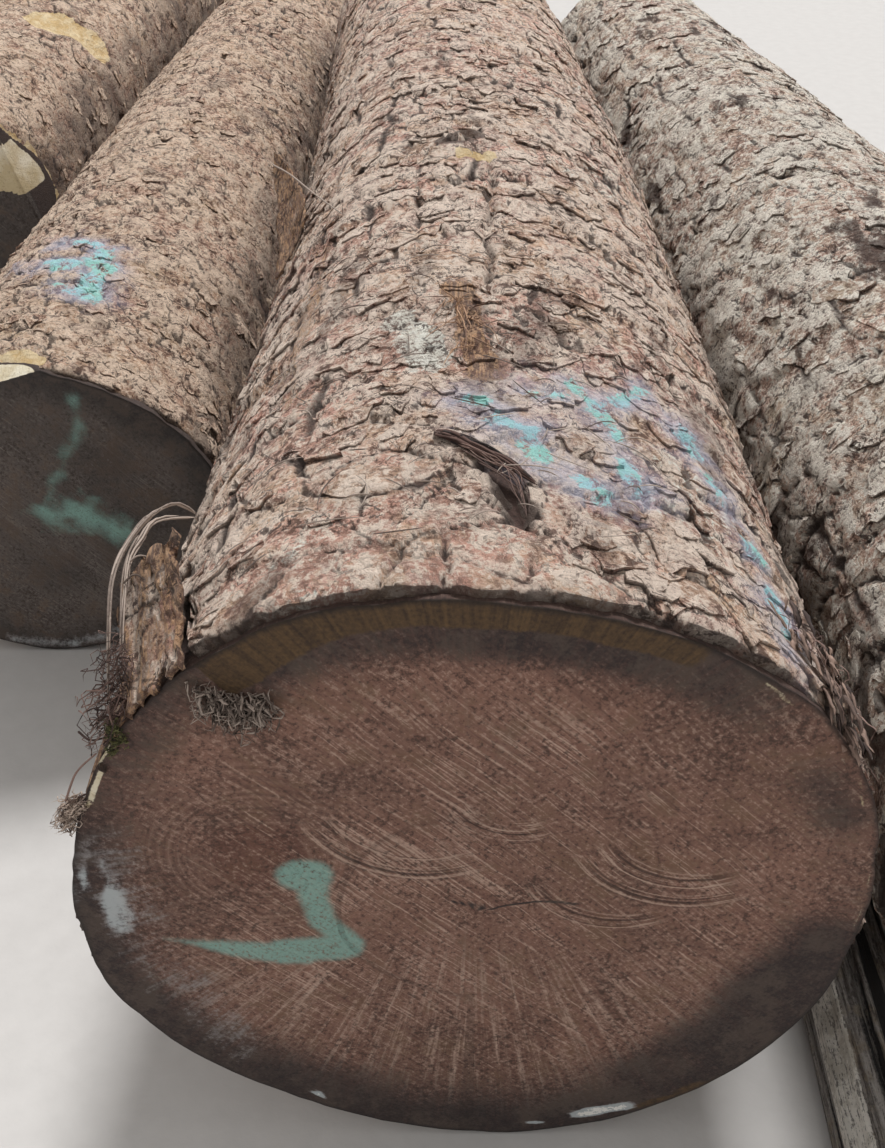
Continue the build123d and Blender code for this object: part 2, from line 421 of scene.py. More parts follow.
class Shader:
    """The node tree of one finish, and its colour so far."""

    def __init__(self, name):
        self.material = bpy.data.materials.new(name)
        self.material.use_nodes = True
        self.tree = self.material.node_tree
        self.place = self.node("ShaderNodeTexCoord", {}, {}, "Object")
        self.colour = None

    def node(self, kind, settings, inputs, output=0):
        """Adds a node: its settings first, then values or links for its sockets. Gives one output."""
        node = self.tree.nodes.new(kind)
        for key, value in settings.items():
            setattr(node, key, value)
        for key, value in inputs.items():
            self.feed(node.inputs[key], value)
        return Link(self, node.outputs[output])

    def feed(self, socket, value):
        """Links an output to a socket, or sets a plain value."""
        if isinstance(value, Link):
            self.tree.links.new(value.socket, socket)
        else:
            socket.default_value = value

    def field(self, name):
        """A value carried by the mesh."""
        return self.node("ShaderNodeAttribute", {"attribute_name": name}, {}, "Fac")

    def vector(self, operation, first, second=(0, 0, 0), output="Vector"):
        """Vector arithmetic."""
        return self.node("ShaderNodeVectorMath", {"operation": operation}, {0: first, 1: second}, output)

    def lengthened(self, vector, amount):
        """The vector, so many times as long."""
        return self.node("ShaderNodeVectorMath", {"operation": "SCALE"}, {0: vector, "Scale": amount})

    def scaled(self, vector, *scale):
        """The vector with each of its parts scaled."""
        return self.node("ShaderNodeMapping", {}, {"Vector": vector, "Scale": scale})

    def noise(self, vector, scale, detail=4.0, rough=0.55):
        """Noise round 0.5 over a vector, this many features to the metre."""
        inputs = {"Vector": vector, "Scale": scale, "Detail": detail, "Roughness": rough}
        return self.node("ShaderNodeTexNoise", {}, inputs, "Fac")

    def flat_noise(self, x, y, detail, rough):
        """Noise over two coordinates of its own, each already scaled."""
        return self.noise(self.node("ShaderNodeCombineXYZ", {}, {"X": x, "Y": y}), 1.0, detail, rough)

    def warped(self, vector, scale, amount):
        """The vector pushed about by coloured noise, so that what is drawn on it wanders."""
        push = self.node("ShaderNodeTexNoise", {}, {"Vector": vector, "Scale": scale, "Detail": 3.0}, "Color")
        push = self.vector("SUBTRACT", push, (0.5, 0.5, 0.5))
        return self.vector("ADD", vector, self.lengthened(push, amount))

    def step(self, value, low, high):
        """0 below the low value, 1 above the high one, eased between; a low above the high turns it round."""
        return self.node("ShaderNodeMapRange", {"interpolation_type": "SMOOTHSTEP"},
                         {"Value": value, "From Min": low, "From Max": high}, "Result")

    def mix(self, share, first, second):
        """From the first colour to the second."""
        return self.node("ShaderNodeMix", {"data_type": "RGBA"}, {"Factor": share, 6: first, 7: second}, 2)

    def cover(self, colour, share):
        """Lays a colour over the colour so far, as far as the share says."""
        self.colour = self.mix(share, self.colour, colour)

    def coat(self, colour, value, low, high, most=1.0):
        """Lays a colour over the colour so far where the value goes from low to high, at most so much."""
        share = self.step(value, low, high)
        self.cover(colour, share if most == 1.0 else share * most)

    def flakes(self, vector, scale, steps, forward):
        """Ragged terraces of scales: noise cut into steps. Gives the height in steps, each terrace's own
        tone, and the shadow in front of an edge, found by looking a little further from the butt."""
        here = self.noise(vector, scale, 5, 0.62) * steps
        level = here.floor()
        ahead = self.noise(self.vector("ADD", vector, (0, forward, 0)), scale, 5, 0.62) * steps
        apart = self.vector("ADD", vector, self.lengthened((3.1, 5.7, 2.3), level))
        return (level + self.step(here - level, 0.0, 0.16), self.noise(apart, scale * 0.7, 2),
                (ahead.floor() - level).most(0.0))

    def finish(self, roughness, height):
        """Feeds the surface: the colour, a roughness, and a relief in metres that tilts the shading."""
        surface = self.tree.nodes["Principled BSDF"].inputs
        self.feed(surface["Base Color"], self.colour)
        self.feed(surface["Roughness"], roughness)
        normal = self.node("ShaderNodeBump", {}, {"Height": height, "Distance": 1.0}, "Normal")
        self.feed(surface["Normal"], normal)
        return self.material


def tone(red, green, blue):
    """A screen colour, 0 to 255, as the light it stands for."""
    values = np.array([red, green, blue]) / 255
    light = np.where(values > 0.04045, ((values + 0.055) / 1.055) ** 2.4, values / 12.92)
    return (*(float(v) for v in light), 1.0)


# Colours
crack_dark = tone(56, 43, 38)
sprayed = tone(176, 244, 232)
sprayed_thin = tone(206, 208, 226)


def bark_finish(name, tan, warm, grey, pale, tint, furrows):
    """Bark: broad patches of tan, warm and grey, terraces of scales with their own tones and a painted shadow
    in front of each, a crumbly surface with painted shade in its creases and painted highlights on its
    crests, dark cracks, furrows with painted shade in them and painted highlights between, painted highlights
    with a little wear on the raised plate edges, painted shade where the bark lies low and where the shade
    field is set, lichen, torn fibres and paint."""
    s = Shader(name)
    drawn = s.scaled(s.warped(s.place, 22, 0.03), 1, 0.55, 1)
    broad, patch, wide = s.noise(s.place, 5, 3), s.noise(s.place, 19, 4, 0.6), s.noise(s.place, 2.6, 4, 0.6)
    crumb = s.noise(drawn, 46, 9, 0.74)
    fine, grit = s.noise(s.place, 150, 6, 0.72), s.noise(s.place, 620, 3, 0.7)
    wrinkle = s.noise(s.scaled(s.warped(s.place, 30, 0.01), 1, 2.6, 1), 60, 6, 0.7)
    strands = s.noise(s.scaled(s.place, 1, 0.08, 1), 260, 4, 0.6)
    large_level, large_tone, large_shadow = s.flakes(drawn, 19, 11, 0.0026)
    small_level, small_tone, small_shadow = s.flakes(drawn, 52, 10, 0.0014)
    crack, plate, height, smooth = s.field("crack"), s.field("tone"), s.field("height"), s.field("smooth")
    s.colour = s.mix(s.step(broad + patch.swing(0.8), 0.40, 0.60), tan, warm)
    s.coat(grey, large_tone + plate.swing(0.5), 0.44, 0.66, 0.8)
    s.coat(tint, s.noise(s.place, 12, 5) + small_tone.swing(0.6), 0.52, 0.66, 0.45)
    s.coat(pale, small_tone + plate.swing(0.5), 0.48, 0.70, 0.6)
    pits = s.noise(s.place, 75, 8, 0.8)
    lichen = s.step(s.field("lichen") + pits.swing(1.1), 0.42, 0.52)
    pale = s.mix(lichen, pale, tone(255, 252, 240))
    s.cover(tone(246, 240, 226), lichen * 0.9)
    dark = s.mix(patch, tone(84, 57, 46), tone(120, 86, 70))
    s.coat(tone(150, 122, 100), wide + crumb.swing(0.4), 0.52, 0.66, 0.35)
    s.coat(pale, plate + patch.swing(0.5), 0.62, 0.78, 0.5)
    s.coat(tone(156, 120, 104), plate + patch.swing(0.5), 0.36, 0.22, 0.4)
    rough = 1 - 0.5 * smooth
    furrow = s.noise(s.scaled(s.warped(s.place, 12, 0.03), 1, 0.30, 1), 13, 5, 0.6)
    # Painted highlight on the ridges between the furrows
    s.coat(pale, furrow + crumb.swing(0.3), 0.54, 0.66, furrows)
    # Painted shade in the creases of the bump noise, in front of small scale edges and in lichen pits
    crease_shade = s.step(crumb + fine.swing(0.50), 0.455, 0.385)
    crease_shade = crease_shade.most(s.step(fine + grit.swing(0.4), 0.43, 0.35) * 0.8)
    crease_shade = crease_shade.most(s.step(wrinkle + fine.swing(0.4), 0.395, 0.33) * 0.7)
    shadow = s.step(0.8 * small_shadow + fine.swing(0.9), 0.35, 0.75) * s.step(patch, 0.40, 0.54) * 0.7
    crease_shade = crease_shade.most(shadow)
    crease_shade = crease_shade.most(s.step(s.field("lichen"), 0.45, 0.6) * s.step(pits, 0.45, 0.40))
    # Painted highlights on the crests of the bump noise
    s.coat(pale, crumb + fine.swing(0.45), 0.49, 0.565)
    s.coat(pale, fine + grit.swing(0.5), 0.53, 0.60, 0.65)
    # Painted highlight, with a little wear, on raised plate edges and lifted scale tips
    s.cover(pale, s.field("worn") * s.step(fine, 0.36, 0.5) * 0.8)
    rusty = s.step(s.field("rusty") + strands.swing(0.5) + fine.swing(0.5), 0.38, 0.58)
    s.cover(s.mix(s.step(strands, 0.42, 0.58), tone(120, 86, 66), tone(214, 168, 126)), rusty * 0.85)
    # The painted crease shade, lighter on smooth plates
    s.cover(dark, 0.88 * crease_shade * rough)
    shadow = s.step(large_shadow + fine.swing(0.9), 0.35, 0.75) * s.step(patch, 0.38, 0.52) * rough
    s.cover(tone(62, 43, 36), 0.80 * shadow)
    # Painted shade in the furrows
    s.coat(tone(74, 54, 46), furrow + crumb.swing(0.35), 0.42, 0.33, furrows)
    # Painted shade from the shade field, wherever it is set
    shade = s.field("shade") + crumb.swing(0.7) + fine.swing(0.4)
    s.coat(tone(72, 54, 47), shade, 0.30, 0.80, 0.8)
    # Painted shade where the bark lies low
    s.coat(tone(86, 66, 58), height + fine.swing(0.004), -0.002, -0.009, 0.5)
    gap = s.step(crack + fine.swing(0.006), 0.0022, 0.0002)
    s.cover(crack_dark, 0.75 * gap)
    bare = s.field("bare") + fine.swing(0.4) + crumb.swing(1.0)
    s.coat(s.mix(s.step(crumb, 0.4, 0.6), tone(232, 198, 142), tone(255, 232, 190)), bare, 0.44, 0.54)
    mark = s.field("mark") + s.noise(s.place, 32, 4).swing(0.050) + fine.swing(0.040)
    s.cover(tone(208, 204, 232), s.step(mark, 0.060, 0.0) * s.step(patch, 0.38, 0.60) * 0.35)
    s.cover(sprayed_thin, s.step(mark, 0.030, -0.004) * s.step(crumb, 0.40, 0.52) * 0.55)
    paint = s.step(mark, 0.002, -0.003) * (1 - 0.9 * gap) * s.step(crumb + fine.swing(0.5), 0.42, 0.49)
    s.cover(s.mix(s.step(patch, 0.4, 0.6), sprayed, tone(190, 240, 250)), paint * 0.92)
    relief = (0.0014 * large_level + 0.0008 * small_level + 0.0190 * crumb + 0.0050 * fine + 0.0045 * wrinkle
              + 0.0008 * grit + 0.0016 * strands * s.field("rusty"))
    return s.finish(0.93, relief)


def sawn_finish(name, base, streak, rim_tone, pivots=()):
    """Sawn butt: end grain with rings and rays round its pith, saw arcs round the places where the bar
    pivoted, drawn as painted highlights with painted shadows beside them, stains towards the bark, a
    painted shade line round the very rim, scuffs and sprayed marks."""
    s = Shader(name)
    share, mark = s.field("share"), s.field("mark")
    stain, olive, scuff = s.field("stain"), s.field("olive"), s.field("scuff")
    hair, ring = s.field("hair"), s.field("ring")
    fine, patch = s.noise(s.place, 300, 6, 0.72), s.noise(s.place, 7, 4, 0.55)
    cloud = s.noise(s.place, 30, 6, 0.68)
    rays = s.flat_noise(hair * 42, ring * 7, 6, 0.7)
    rings = s.flat_noise(ring * 250, hair * 1.2, 2, 0.5)
    bent = s.warped(s.place, 9, 0.012)
    across = s.vector("DOT_PRODUCT", bent, (0.72, 0, 0.69), "Value")
    down = s.vector("DOT_PRODUCT", bent, (0.69, 0, -0.72), "Value")
    hatch = s.flat_noise(across * 420, down * 9, 4, 0.7)
    scratch = s.step(hatch + patch.swing(0.5) + fine.swing(0.2), 0.56, 0.70) * s.step(share, 0.84, 0.58)
    base_dark = tuple(0.62 * v for v in base[:3]) + (1.0,)
    s.colour = s.mix(s.step(patch + cloud.swing(0.5), 0.32, 0.66), base_dark, base)
    s.coat(tone(112, 86, 62), cloud + hatch.swing(0.5), 0.50, 0.66, 0.5)
    s.cover(streak, s.step(rays + fine.swing(0.4), 0.46, 0.74) * s.field("fan"))
    near_pith = s.step(ring, 0.17, 0.05)
    s.cover(tone(66, 44, 37), s.step(rings + fine.swing(0.3), 0.50, 0.38) * (0.10 + 0.22 * near_pith))
    s.cover(streak, s.step(rings + fine.swing(0.3), 0.55, 0.66) * near_pith * 0.2)
    s.coat(tone(92, 52, 40), ring, 0.060, 0.035, 0.45)
    s.coat(tone(66, 46, 40), hatch, 0.46, 0.34, 0.4)
    s.cover(streak, scratch * 0.8)
    coarse = s.noise(s.place, 210, 6, 0.75)
    s.coat(tone(56, 40, 34), coarse + cloud.swing(0.3), 0.48, 0.38, 0.7)
    s.coat(streak, coarse + hatch.swing(0.5), 0.54, 0.64, 0.42)
    relief = 0.0012 * rays + 0.0008 * rings + 0.0018 * fine + 0.0012 * hatch + 0.0010 * cloud
    for pivot, inner, outer, lean in pivots:
        away = s.vector("SUBTRACT", s.place, pivot)
        reach = s.vector("LENGTH", away, output="Value")
        side = s.vector("DOT_PRODUCT", s.vector("NORMALIZE", away), lean, "Value")
        zone = (s.step(reach, inner, inner + 0.01) * s.step(reach, outer, outer - 0.01)
                * s.step(side, 0.62, 0.90))
        lines = s.flat_noise(reach * 260, side * 2, 3, 0.65)
        line = s.step(lines + fine.swing(0.25), 0.53, 0.62) * zone
        # Painted shadow in each groove of the saw arcs and painted highlight on each ridge
        s.cover(tone(54, 38, 33), s.step(lines, 0.49, 0.40) * zone * 0.7)
        s.cover(tone(196, 168, 150), line * 0.9)
        relief = relief + 0.0024 * lines * zone
    ragged = cloud.swing(0.9) + patch.swing(0.8) + fine.swing(0.5) + rays.swing(0.8)
    stained = s.step(stain + ragged, 0.0, 1.05)
    rim_mix = s.mix(s.step(cloud + fine.swing(0.5), 0.42, 0.62), rim_tone, tone(74, 64, 58))
    s.cover(rim_mix, stained * 0.92)
    s.coat(s.mix(s.step(rays + fine.swing(0.9), 0.2, 0.8), tone(58, 42, 30), tone(104, 80, 52)),
           olive + fine.swing(0.5), 0.30, 0.65)
    scuffed = s.step(scuff + cloud.swing(0.9) + coarse.swing(1.0) + rays.swing(0.8), 0.42, 0.90)
    s.cover(s.mix(s.step(scuff, 0.55, 0.85), tone(160, 156, 156), tone(206, 214, 216)), scuffed * 0.7)
    # Painted shade along the very rim of the face, where it meets the bark
    s.coat(tone(46, 38, 35), share + cloud.swing(0.02), 0.982, 1.0, 0.7)
    chips = scuff + fine.swing(1.6) + coarse.swing(1.6)
    s.coat(tone(240, 238, 232), chips, 1.35, 1.55)
    bare = s.field("bare") + fine.swing(0.4) + cloud.swing(0.4)
    wood = s.mix(s.step(patch + cloud.swing(0.6), 0.35, 0.65), tone(206, 188, 150), tone(242, 234, 212))
    wood = s.mix(s.step(coarse + fine.swing(0.4), 0.46, 0.36) * 0.5, wood, tone(158, 132, 98))
    s.coat(wood, bare, 0.4, 0.6)
    spray = s.step(mark + fine.swing(0.010) + cloud.swing(0.010), 0.004, -0.006)
    s.cover(s.mix(fine, tone(98, 140, 130), tone(164, 204, 192)),
            spray * s.step(fine + hatch.swing(0.3), 0.28, 0.50) * 0.85)
    return s.finish(0.88, relief)


def fibre_finish(name, dark, light):
    """Torn fibres: each has its own tone between dark and light, with streaks along it."""
    s = Shader(name)
    own, fine = s.field("own"), s.noise(s.place, 240, 4, 0.6)
    s.colour = s.mix(s.step(own + fine.swing(0.5), 0.05, 0.95), dark, light)
    return s.finish(0.9, 0.0012 * fine)


def timber_finish(name):
    """Weathered sawn timber: silver-grey streaks along the grain, brown hollows, dark splits, and arrises
    pale from wear, with a painted highlight."""
    s = Shader(name)
    grain = s.scaled(s.warped(s.place, 14, 0.006), 1, 0.05, 1)
    streak, thin = s.noise(grain, 110, 7, 0.7), s.noise(s.scaled(grain, 1, 2, 1), 420, 4, 0.7)
    patch, fine = s.noise(s.place, 22, 5, 0.65), s.noise(s.place, 260, 5, 0.7)
    split = s.noise(s.scaled(s.warped(s.place, 20, 0.004), 1, 0.02, 1), 46, 3, 0.5)
    s.colour = s.mix(s.step(streak, 0.36, 0.64), tone(78, 70, 65), tone(158, 152, 146))
    s.coat(tone(116, 98, 82), patch, 0.50, 0.66, 0.6)
    s.coat(tone(192, 186, 180), thin + fine.swing(0.3), 0.56, 0.68, 0.6)
    # Arrises pale from wear and a painted highlight
    s.coat(tone(222, 216, 206), s.field("worn") + fine.swing(0.9) + thin.swing(0.6), 0.35, 0.65)
    s.coat(tone(136, 124, 104), patch + thin.swing(0.5), 0.50, 0.62, 0.45)
    s.coat(tone(58, 50, 45), thin + fine.swing(0.5), 0.49, 0.38, 0.75)
    s.coat(tone(30, 26, 24), split + fine.swing(0.05), 0.400, 0.380)
    return s.finish(0.9, 0.0050 * streak + 0.0026 * thin + 0.0012 * fine + 0.02 * s.step(split, 0.37, 0.42))


finish_centre = bark_finish("reddish_tan_bark", tone(236, 196, 166), tone(232, 178, 158), tone(204, 172, 160),
                            tone(255, 234, 216), tone(232, 200, 156), 0.45)
finish_left = bark_finish("brown_bark", tone(214, 176, 146), tone(214, 172, 148), tone(180, 154, 140),
                          tone(246, 220, 196), tone(206, 184, 146), 0.38)
finish_right = bark_finish("greyish_bark", tone(222, 192, 168), tone(224, 186, 166), tone(192, 174, 162),
                           tone(255, 246, 232), tone(214, 206, 176), 0.85)
# Saw arcs: right of and above the axis, least and greatest reach
saw_pivots = [(-0.04, 0.165, 0.085, 0.125), (0.036, 0.163, 0.040, 0.075), (0.19, 0.125, 0.070, 0.125),
              (0.13, 0.07, 0.070, 0.100)]
finish_sawn = sawn_finish("weathered_end_grain", tone(142, 104, 89), tone(204, 174, 156), tone(40, 34, 35),
                          [((centre.axis_x + x, centre.butt_y, centre.heights[0] + z), inner, outer,
                            (-0.35, 0, -0.94)) for x, z, inner, outer in saw_pivots])
finish_sawn_dark = sawn_finish("weathered_dark_end_grain", tone(112, 102, 96), tone(142, 132, 124),
                               tone(46, 42, 41))
finish_timber = timber_finish("silver_grey_timber")
finish_fibre = fibre_finish("pale_bast_fibre", tone(112, 92, 82), tone(206, 186, 170))
finish_dark_fibre = fibre_finish("dark_bast_fibre", tone(66, 50, 46), tone(140, 114, 104))
finish_torn = fibre_finish("torn_bark_strip", tone(58, 44, 40), tone(158, 132, 118))
finish_splinter = fibre_finish("dark_splinter_wood", tone(36, 26, 24), tone(92, 68, 60))
finish_strand = fibre_finish("grey_bast_strand", tone(98, 84, 76), tone(176, 160, 148))
finish_rusty_fibre = fibre_finish("rusty_bast_fibre", tone(112, 84, 68), tone(190, 152, 122))
finish_moss = fibre_finish("moss", tone(58, 58, 34), tone(112, 110, 68))


bark_fields = ("height", "crack", "shade", "worn", "tone", "smooth", "bare", "lichen", "rusty", "mark")


def at_least(fields, key, values):
    """Raises a field to the values where they are higher."""
    fields[key][:] = np.maximum(fields[key], values)


def at_most(fields, key, values):
    """Lowers a field to the values where they are lower."""
    fields[key][:] = np.minimum(fields[key], values)


def lay_down(points, log, cut, below=0.0):
    """Brings what stands out of a slanting cut squarely down to it. Gives how far each point came down."""
    if cut is None:
        return np.zeros(points.shape[:-1])
    beyond, square = cut.beyond(log, points)
    drop = np.maximum(beyond + below, 0)
    points -= drop[..., None] * square
    return drop


def bark_looks(skin, bark, details):
    """All the fields of the bark, with the log's own scars and marks drawn in."""
    looks = bark_pattern(skin, bark)
    looks.update({key: np.zeros(skin.turn.shape) for key in ("bare", "lichen", "rusty", "smooth")})
    looks["mark"] = np.ones(skin.turn.shape)
    if details:
        details(skin, looks)
    return looks


def bark_jacket(name, log, bark, finish, lip, details, cut, columns, rows, growth):
    """The bark as a closed sleeve: its broken front edge follows the lip, its inner wall lies in the wood."""
    turn = columns_round(columns)[None]
    start = lip(log.skin(turn, 0.0))
    along = start + (log.length - start) * rows_along(rows, growth)[:, None]
    skin = log.skin(turn, along)
    looks = bark_looks(skin, bark, details)
    to_edge = np.minimum(along - start, log.length - along)
    # The crack field falls to nothing at the bark's ends, so the gap colour paints its broken front edge
    # dark: painted shade
    looks["crack"] = looks["crack"] * rise(to_edge, 0.0, 0.006)
    outer = log.place(turn, along, looks["height"] - 0.003 * fall(to_edge, 0, 0.010))
    at_least(looks, "bare", rise(lay_down(outer, log, cut, 0.001), 0.010, 0.016))
    inner_along = start + (log.length - start) * np.linspace(0, 1, inner_rows)[::-1][:, None]
    inner = log.place(turn, inner_along, -bark_thickness - wall_depth)
    lay_down(inner, log, cut, 0.03)
    points = np.concatenate([outer, inner])
    last = (len(points) - 1) * columns + np.arange(columns)
    quads = np.concatenate([ring_quads(len(points), columns), wall(last, -last[0])])
    fields = {key: np.concatenate([looks[key], np.broadcast_to(looks[key][:1], (inner_rows, columns))])
              for key in bark_fields}
    # The inner wall gets a low height, which darkens it in the shader: painted shade on the bark's front edge
    fields["height"][rows:] = -0.006
    piece = add_mesh(name, points, quads, finish, fields)
    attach(piece, "root")
    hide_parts(log.node)


def wood_body(name, log, seed, columns, rings, finish, rim, draw_face=None, cut=None, pith=(0.0, 0.0),
              fresh=None):
    """The wood in the bark: a sawn disc at each end and a plain side, all one closed surface."""
    turn = columns_round(columns)[None]
    share = np.linspace(0, 1, rings + 1)[1:, None] ** 0.9
    near, near_rows, short_of_end, far_rows = 0.16, 26, 0.02, 14
    further = near + (log.length - near - short_of_end) * np.linspace(0, 1, far_rows)
    side = np.concatenate([rows_along(near_rows, 4) * near, further[1:]])[1:, None]
    edge = rim(log.skin(turn, 0.0))
    skin = log.skin(turn, side)
    sunk = -edge - (bark_thickness - edge) * rise(side, 0.010, 0.045) + 0.0015 * skin.rough(0.02, seed, 3, 4)
    back = np.linspace(1, 0, far_rows)[:-1, None]
    reach = 1 - edge / log.radius(2 * np.pi * turn - np.pi / 2, 0.0)
    front_disc = log.place(turn, 0.0, share=share * reach)
    back_disc = log.place(turn, log.length, share=back * 0.985)
    x = front_disc[..., 0] - log.axis_x
    z = front_disc[..., 2] - log.heights[0]
    face = log.skin(turn, share * 0.3)
    front_disc[..., 1] += 0.0008 + 0.0012 * (1 + face.rough(0.2, seed + 9, 2)) * (1 - share)
    fields = {key: np.zeros((rings + len(side) + len(back), columns)) for key in
              ("share", "mark", "stain", "olive", "scuff", "hair", "ring", "fan", "bare")}
    fields["share"][:rings] = share
    fields["share"][rings:] = 1.0
    fields["share"][rings + len(side):] = back
    fields["mark"][:] = 1.0
    fan_height = 0.12
    fields["hair"][:rings] = np.unwrap(np.arctan2(x, z - fan_height), axis=1)
    fields["fan"][:rings] = 0.35
    fields["ring"][:rings] = np.hypot(x - pith[0], z - pith[1])
    if draw_face:
        draw_face(x, z, share, {key: values[:rings] for key, values in fields.items()})
    body = np.concatenate([front_disc, log.place(turn, side, sunk), back_disc])
    drop = lay_down(body, log, cut)
    cut_bare = rise(drop, 0.002, 0.008)
    if fresh:
        cut_bare = cut_bare * fresh(body[..., 0] - log.axis_x, body[..., 2] - log.heights[0])
    at_least(fields, "bare", cut_bare)
    middle = [log.place(0.5, 0.0, share=0.0), log.place(0.5, log.length, share=0.0)]
    middle[0][1] = front_disc[0, :, 1].mean()
    points = np.concatenate([body.reshape(-1, 3), middle])
    fields = {key: np.concatenate([values.ravel(), [values[0].mean(), values[-1].mean()]])
              for key, values in fields.items()}
    size = len(body), columns
    piece = add_mesh(name, points, ring_quads(*size), finish, fields, end_fans(*size))
    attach(piece, "root")
    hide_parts(log.node)


def broken_lip(deep, seed):
    """Where the outer bark breaks off behind the sawn face: a little everywhere, more at chipped plates."""
    def lip(skin):
        chipped = terraces(0.5 + 0.5 * skin.rough(0.07, seed, 3), 4)
        return 0.003 + deep * chipped + 0.003 * (1 + skin.rough(0.012, seed + 3, 2))
    return lip


def even_rim(deep, seed, top=0.0):
    """How far the sawn face stops short of the log's outline, with more at the top."""
    def rim(skin):
        crown = rise(-np.cos(2 * np.pi * skin.turn), 0.55, 0.85)
        return 0.003 + deep * skin.patches(0.05, seed, 3, -0.6, 0.8) + top * crown
    return rim


def loose_scales(name, log, bark, finish, lip, details, cut, count, seed, reach, widths):
    """Scales that lie loose on the bark: thin curved plates, held at their far end and lifted at the end
    towards the butt. A plate is a ragged grid, with a wall of its own round it down into the bark."""
    steps = np.linspace(-1, 1, 5)
    grid = np.arange(len(steps) ** 2).reshape(len(steps), len(steps))
    top, edge = sheet(grid)
    inside, round_it = grid.size, len(edge)
    u, v = (np.concatenate([part.ravel(), part.ravel()[edge], part.ravel()[edge]])[None]
            for part in np.meshgrid(steps, steps))
    k = np.arange(count)[:, None]
    turn = 0.5 + 0.66 * (scatter(k, 1, seed) - 0.5)
    wide = widths[0] + (widths[1] - widths[0]) * scatter(k, 3, seed) ** 1.5
    long = wide * (0.6 + 1.2 * scatter(k, 4, seed))
    along = 0.012 + long + reach * scatter(k, 2, seed) ** 1.7
    skew = 1.2 * (scatter(k, 5, seed) - 0.5)
    outline = Skin(np.arctan2(v, u) / (2 * np.pi), k * 0.37, 1.0).noise(0.09, seed + 1)
    ragged = (0.84 + 0.34 * outline) * (1 - 0.12 * (u * v) ** 2)
    x, y = wide * u * ragged, long * v * ragged
    turn = turn + (x * np.cos(skew) - y * np.sin(skew)) / log.girth
    along = np.maximum(along + x * np.sin(skew) + y * np.cos(skew), lip(log.skin(turn, 0.0)) + 0.001)
    looks = bark_looks(log.skin(turn, along), bark, details)
    lift = wide * (0.03 + 0.15 * scatter(k, 6, seed)) * ((1 - v) / 2) ** 1.3
    sunk = np.arange(u.size)[None] >= inside + round_it
    walled = np.arange(u.size)[None] >= inside
    out = (looks["height"] + 0.0008 + lift + wide * 0.10 * u ** 2 * (scatter(k, 7, seed) - 0.4)
           - (0.004 + lift * 0.6) * sunk)
    tip = rise(-v, 0.3, 1.0) * np.ones_like(out)
    # Painted highlight on each scale's lifted tip, with a little wear; painted shade on its wall and round
    # its sunk foot
    looks.update(tone=np.broadcast_to(scatter(k, 8, seed), out.shape), crack=np.full(out.shape, 0.02),
                 shade=(0.9 * sunk + 0.3 * walled) * np.ones_like(out), worn=0.7 * tip * (1 - walled),
                 height=out * 0.3)
    points = log.place(turn, along, out)
    whole = lay_down(points.copy(), log, cut) == 0
    keep = (whole & (looks["bare"] < 0.4) & (looks["smooth"] < 0.4)).all(1)
    around = wall(inside + np.arange(round_it), round_it)
    quads = np.concatenate([top, around])[None] + u.size * np.arange(keep.sum())[:, None, None]
    piece = add_mesh(name, points[keep], quads.reshape(-1, 4), finish,
                     {key: looks[key][keep] for key in bark_fields})
    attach(piece, "root")
    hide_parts(log.node)


def threads(name, log, paths, radii, finish, sides=5, flat=1.0, up=upright):
    """Threads along paths: at each stop an oval ring square to the path, with its own half width across
    the up direction and a share of it in that direction. The ends are closed with a point."""
    paths = np.asarray(paths, float)
    ahead = np.gradient(paths, axis=1)
    ahead /= np.linalg.norm(ahead, axis=2, keepdims=True) + 1e-12
    side = np.cross(ahead, up)
    side /= np.linalg.norm(side, axis=2, keepdims=True) + 1e-12
    above = np.cross(side, ahead)
    angle = 2 * np.pi * np.arange(sides) / sides
    radii = np.broadcast_to(radii, paths.shape[:2]).copy()
    radii[:, [0, -1]] = 0.00002
    ring = np.cos(angle)[:, None] * side[:, :, None] + np.sin(angle)[:, None] * above[:, :, None] * flat
    points = paths[:, :, None] + radii[..., None, None] * ring
    points[..., 2] = np.maximum(points[..., 2], underside_clearance)
    index = np.arange(points[..., 0].size).reshape(points.shape[:3])
    beside = np.roll(index, -1, axis=2)
    quads = np.stack([index[:, :-1], index[:, 1:], beside[:, 1:], beside[:, :-1]], -1)
    shade = np.broadcast_to(scatter(np.arange(len(paths))[:, None, None], 9, 3), index.shape)
    piece = add_mesh(name, points, quads.reshape(-1, 4), finish, {"own": shade})
    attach(piece, "root")
    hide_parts(log.node)


def curled(roots, tips, bulge, wiggle, seed):
    """Paths from roots to tips that bulge to one side in the middle and wiggle, each in its own way."""
    t = np.linspace(0, 1, fibre_stops)[None, :, None]
    k, axis = np.arange(len(roots))[:, None, None], np.arange(3)[None, None]
    own = scatter(k, axis, seed) - 0.5
    wave = np.sin(2 * np.pi * (t * (1 + scatter(k, axis, seed + 1)) + scatter(k, axis, seed + 2)))
    start = np.sin(2 * np.pi * scatter(k, axis, seed + 2))
    straight = roots[:, None] * (1 - t) + tips[:, None] * t
    bulged = 4 * t * (1 - t) * (np.array(bulge) + wiggle * 2 * own)
    return straight + bulged + wiggle * 0.6 * (wave - start) * t


def beside_butt(log, stops):
    """World places of (right of the axis, above it, along) at a log's butt."""
    right_by, above, along = np.asarray(stops, float).T
    return np.stack([log.axis_x + right_by, log.butt_y + along, log.heights[0] + above], -1)


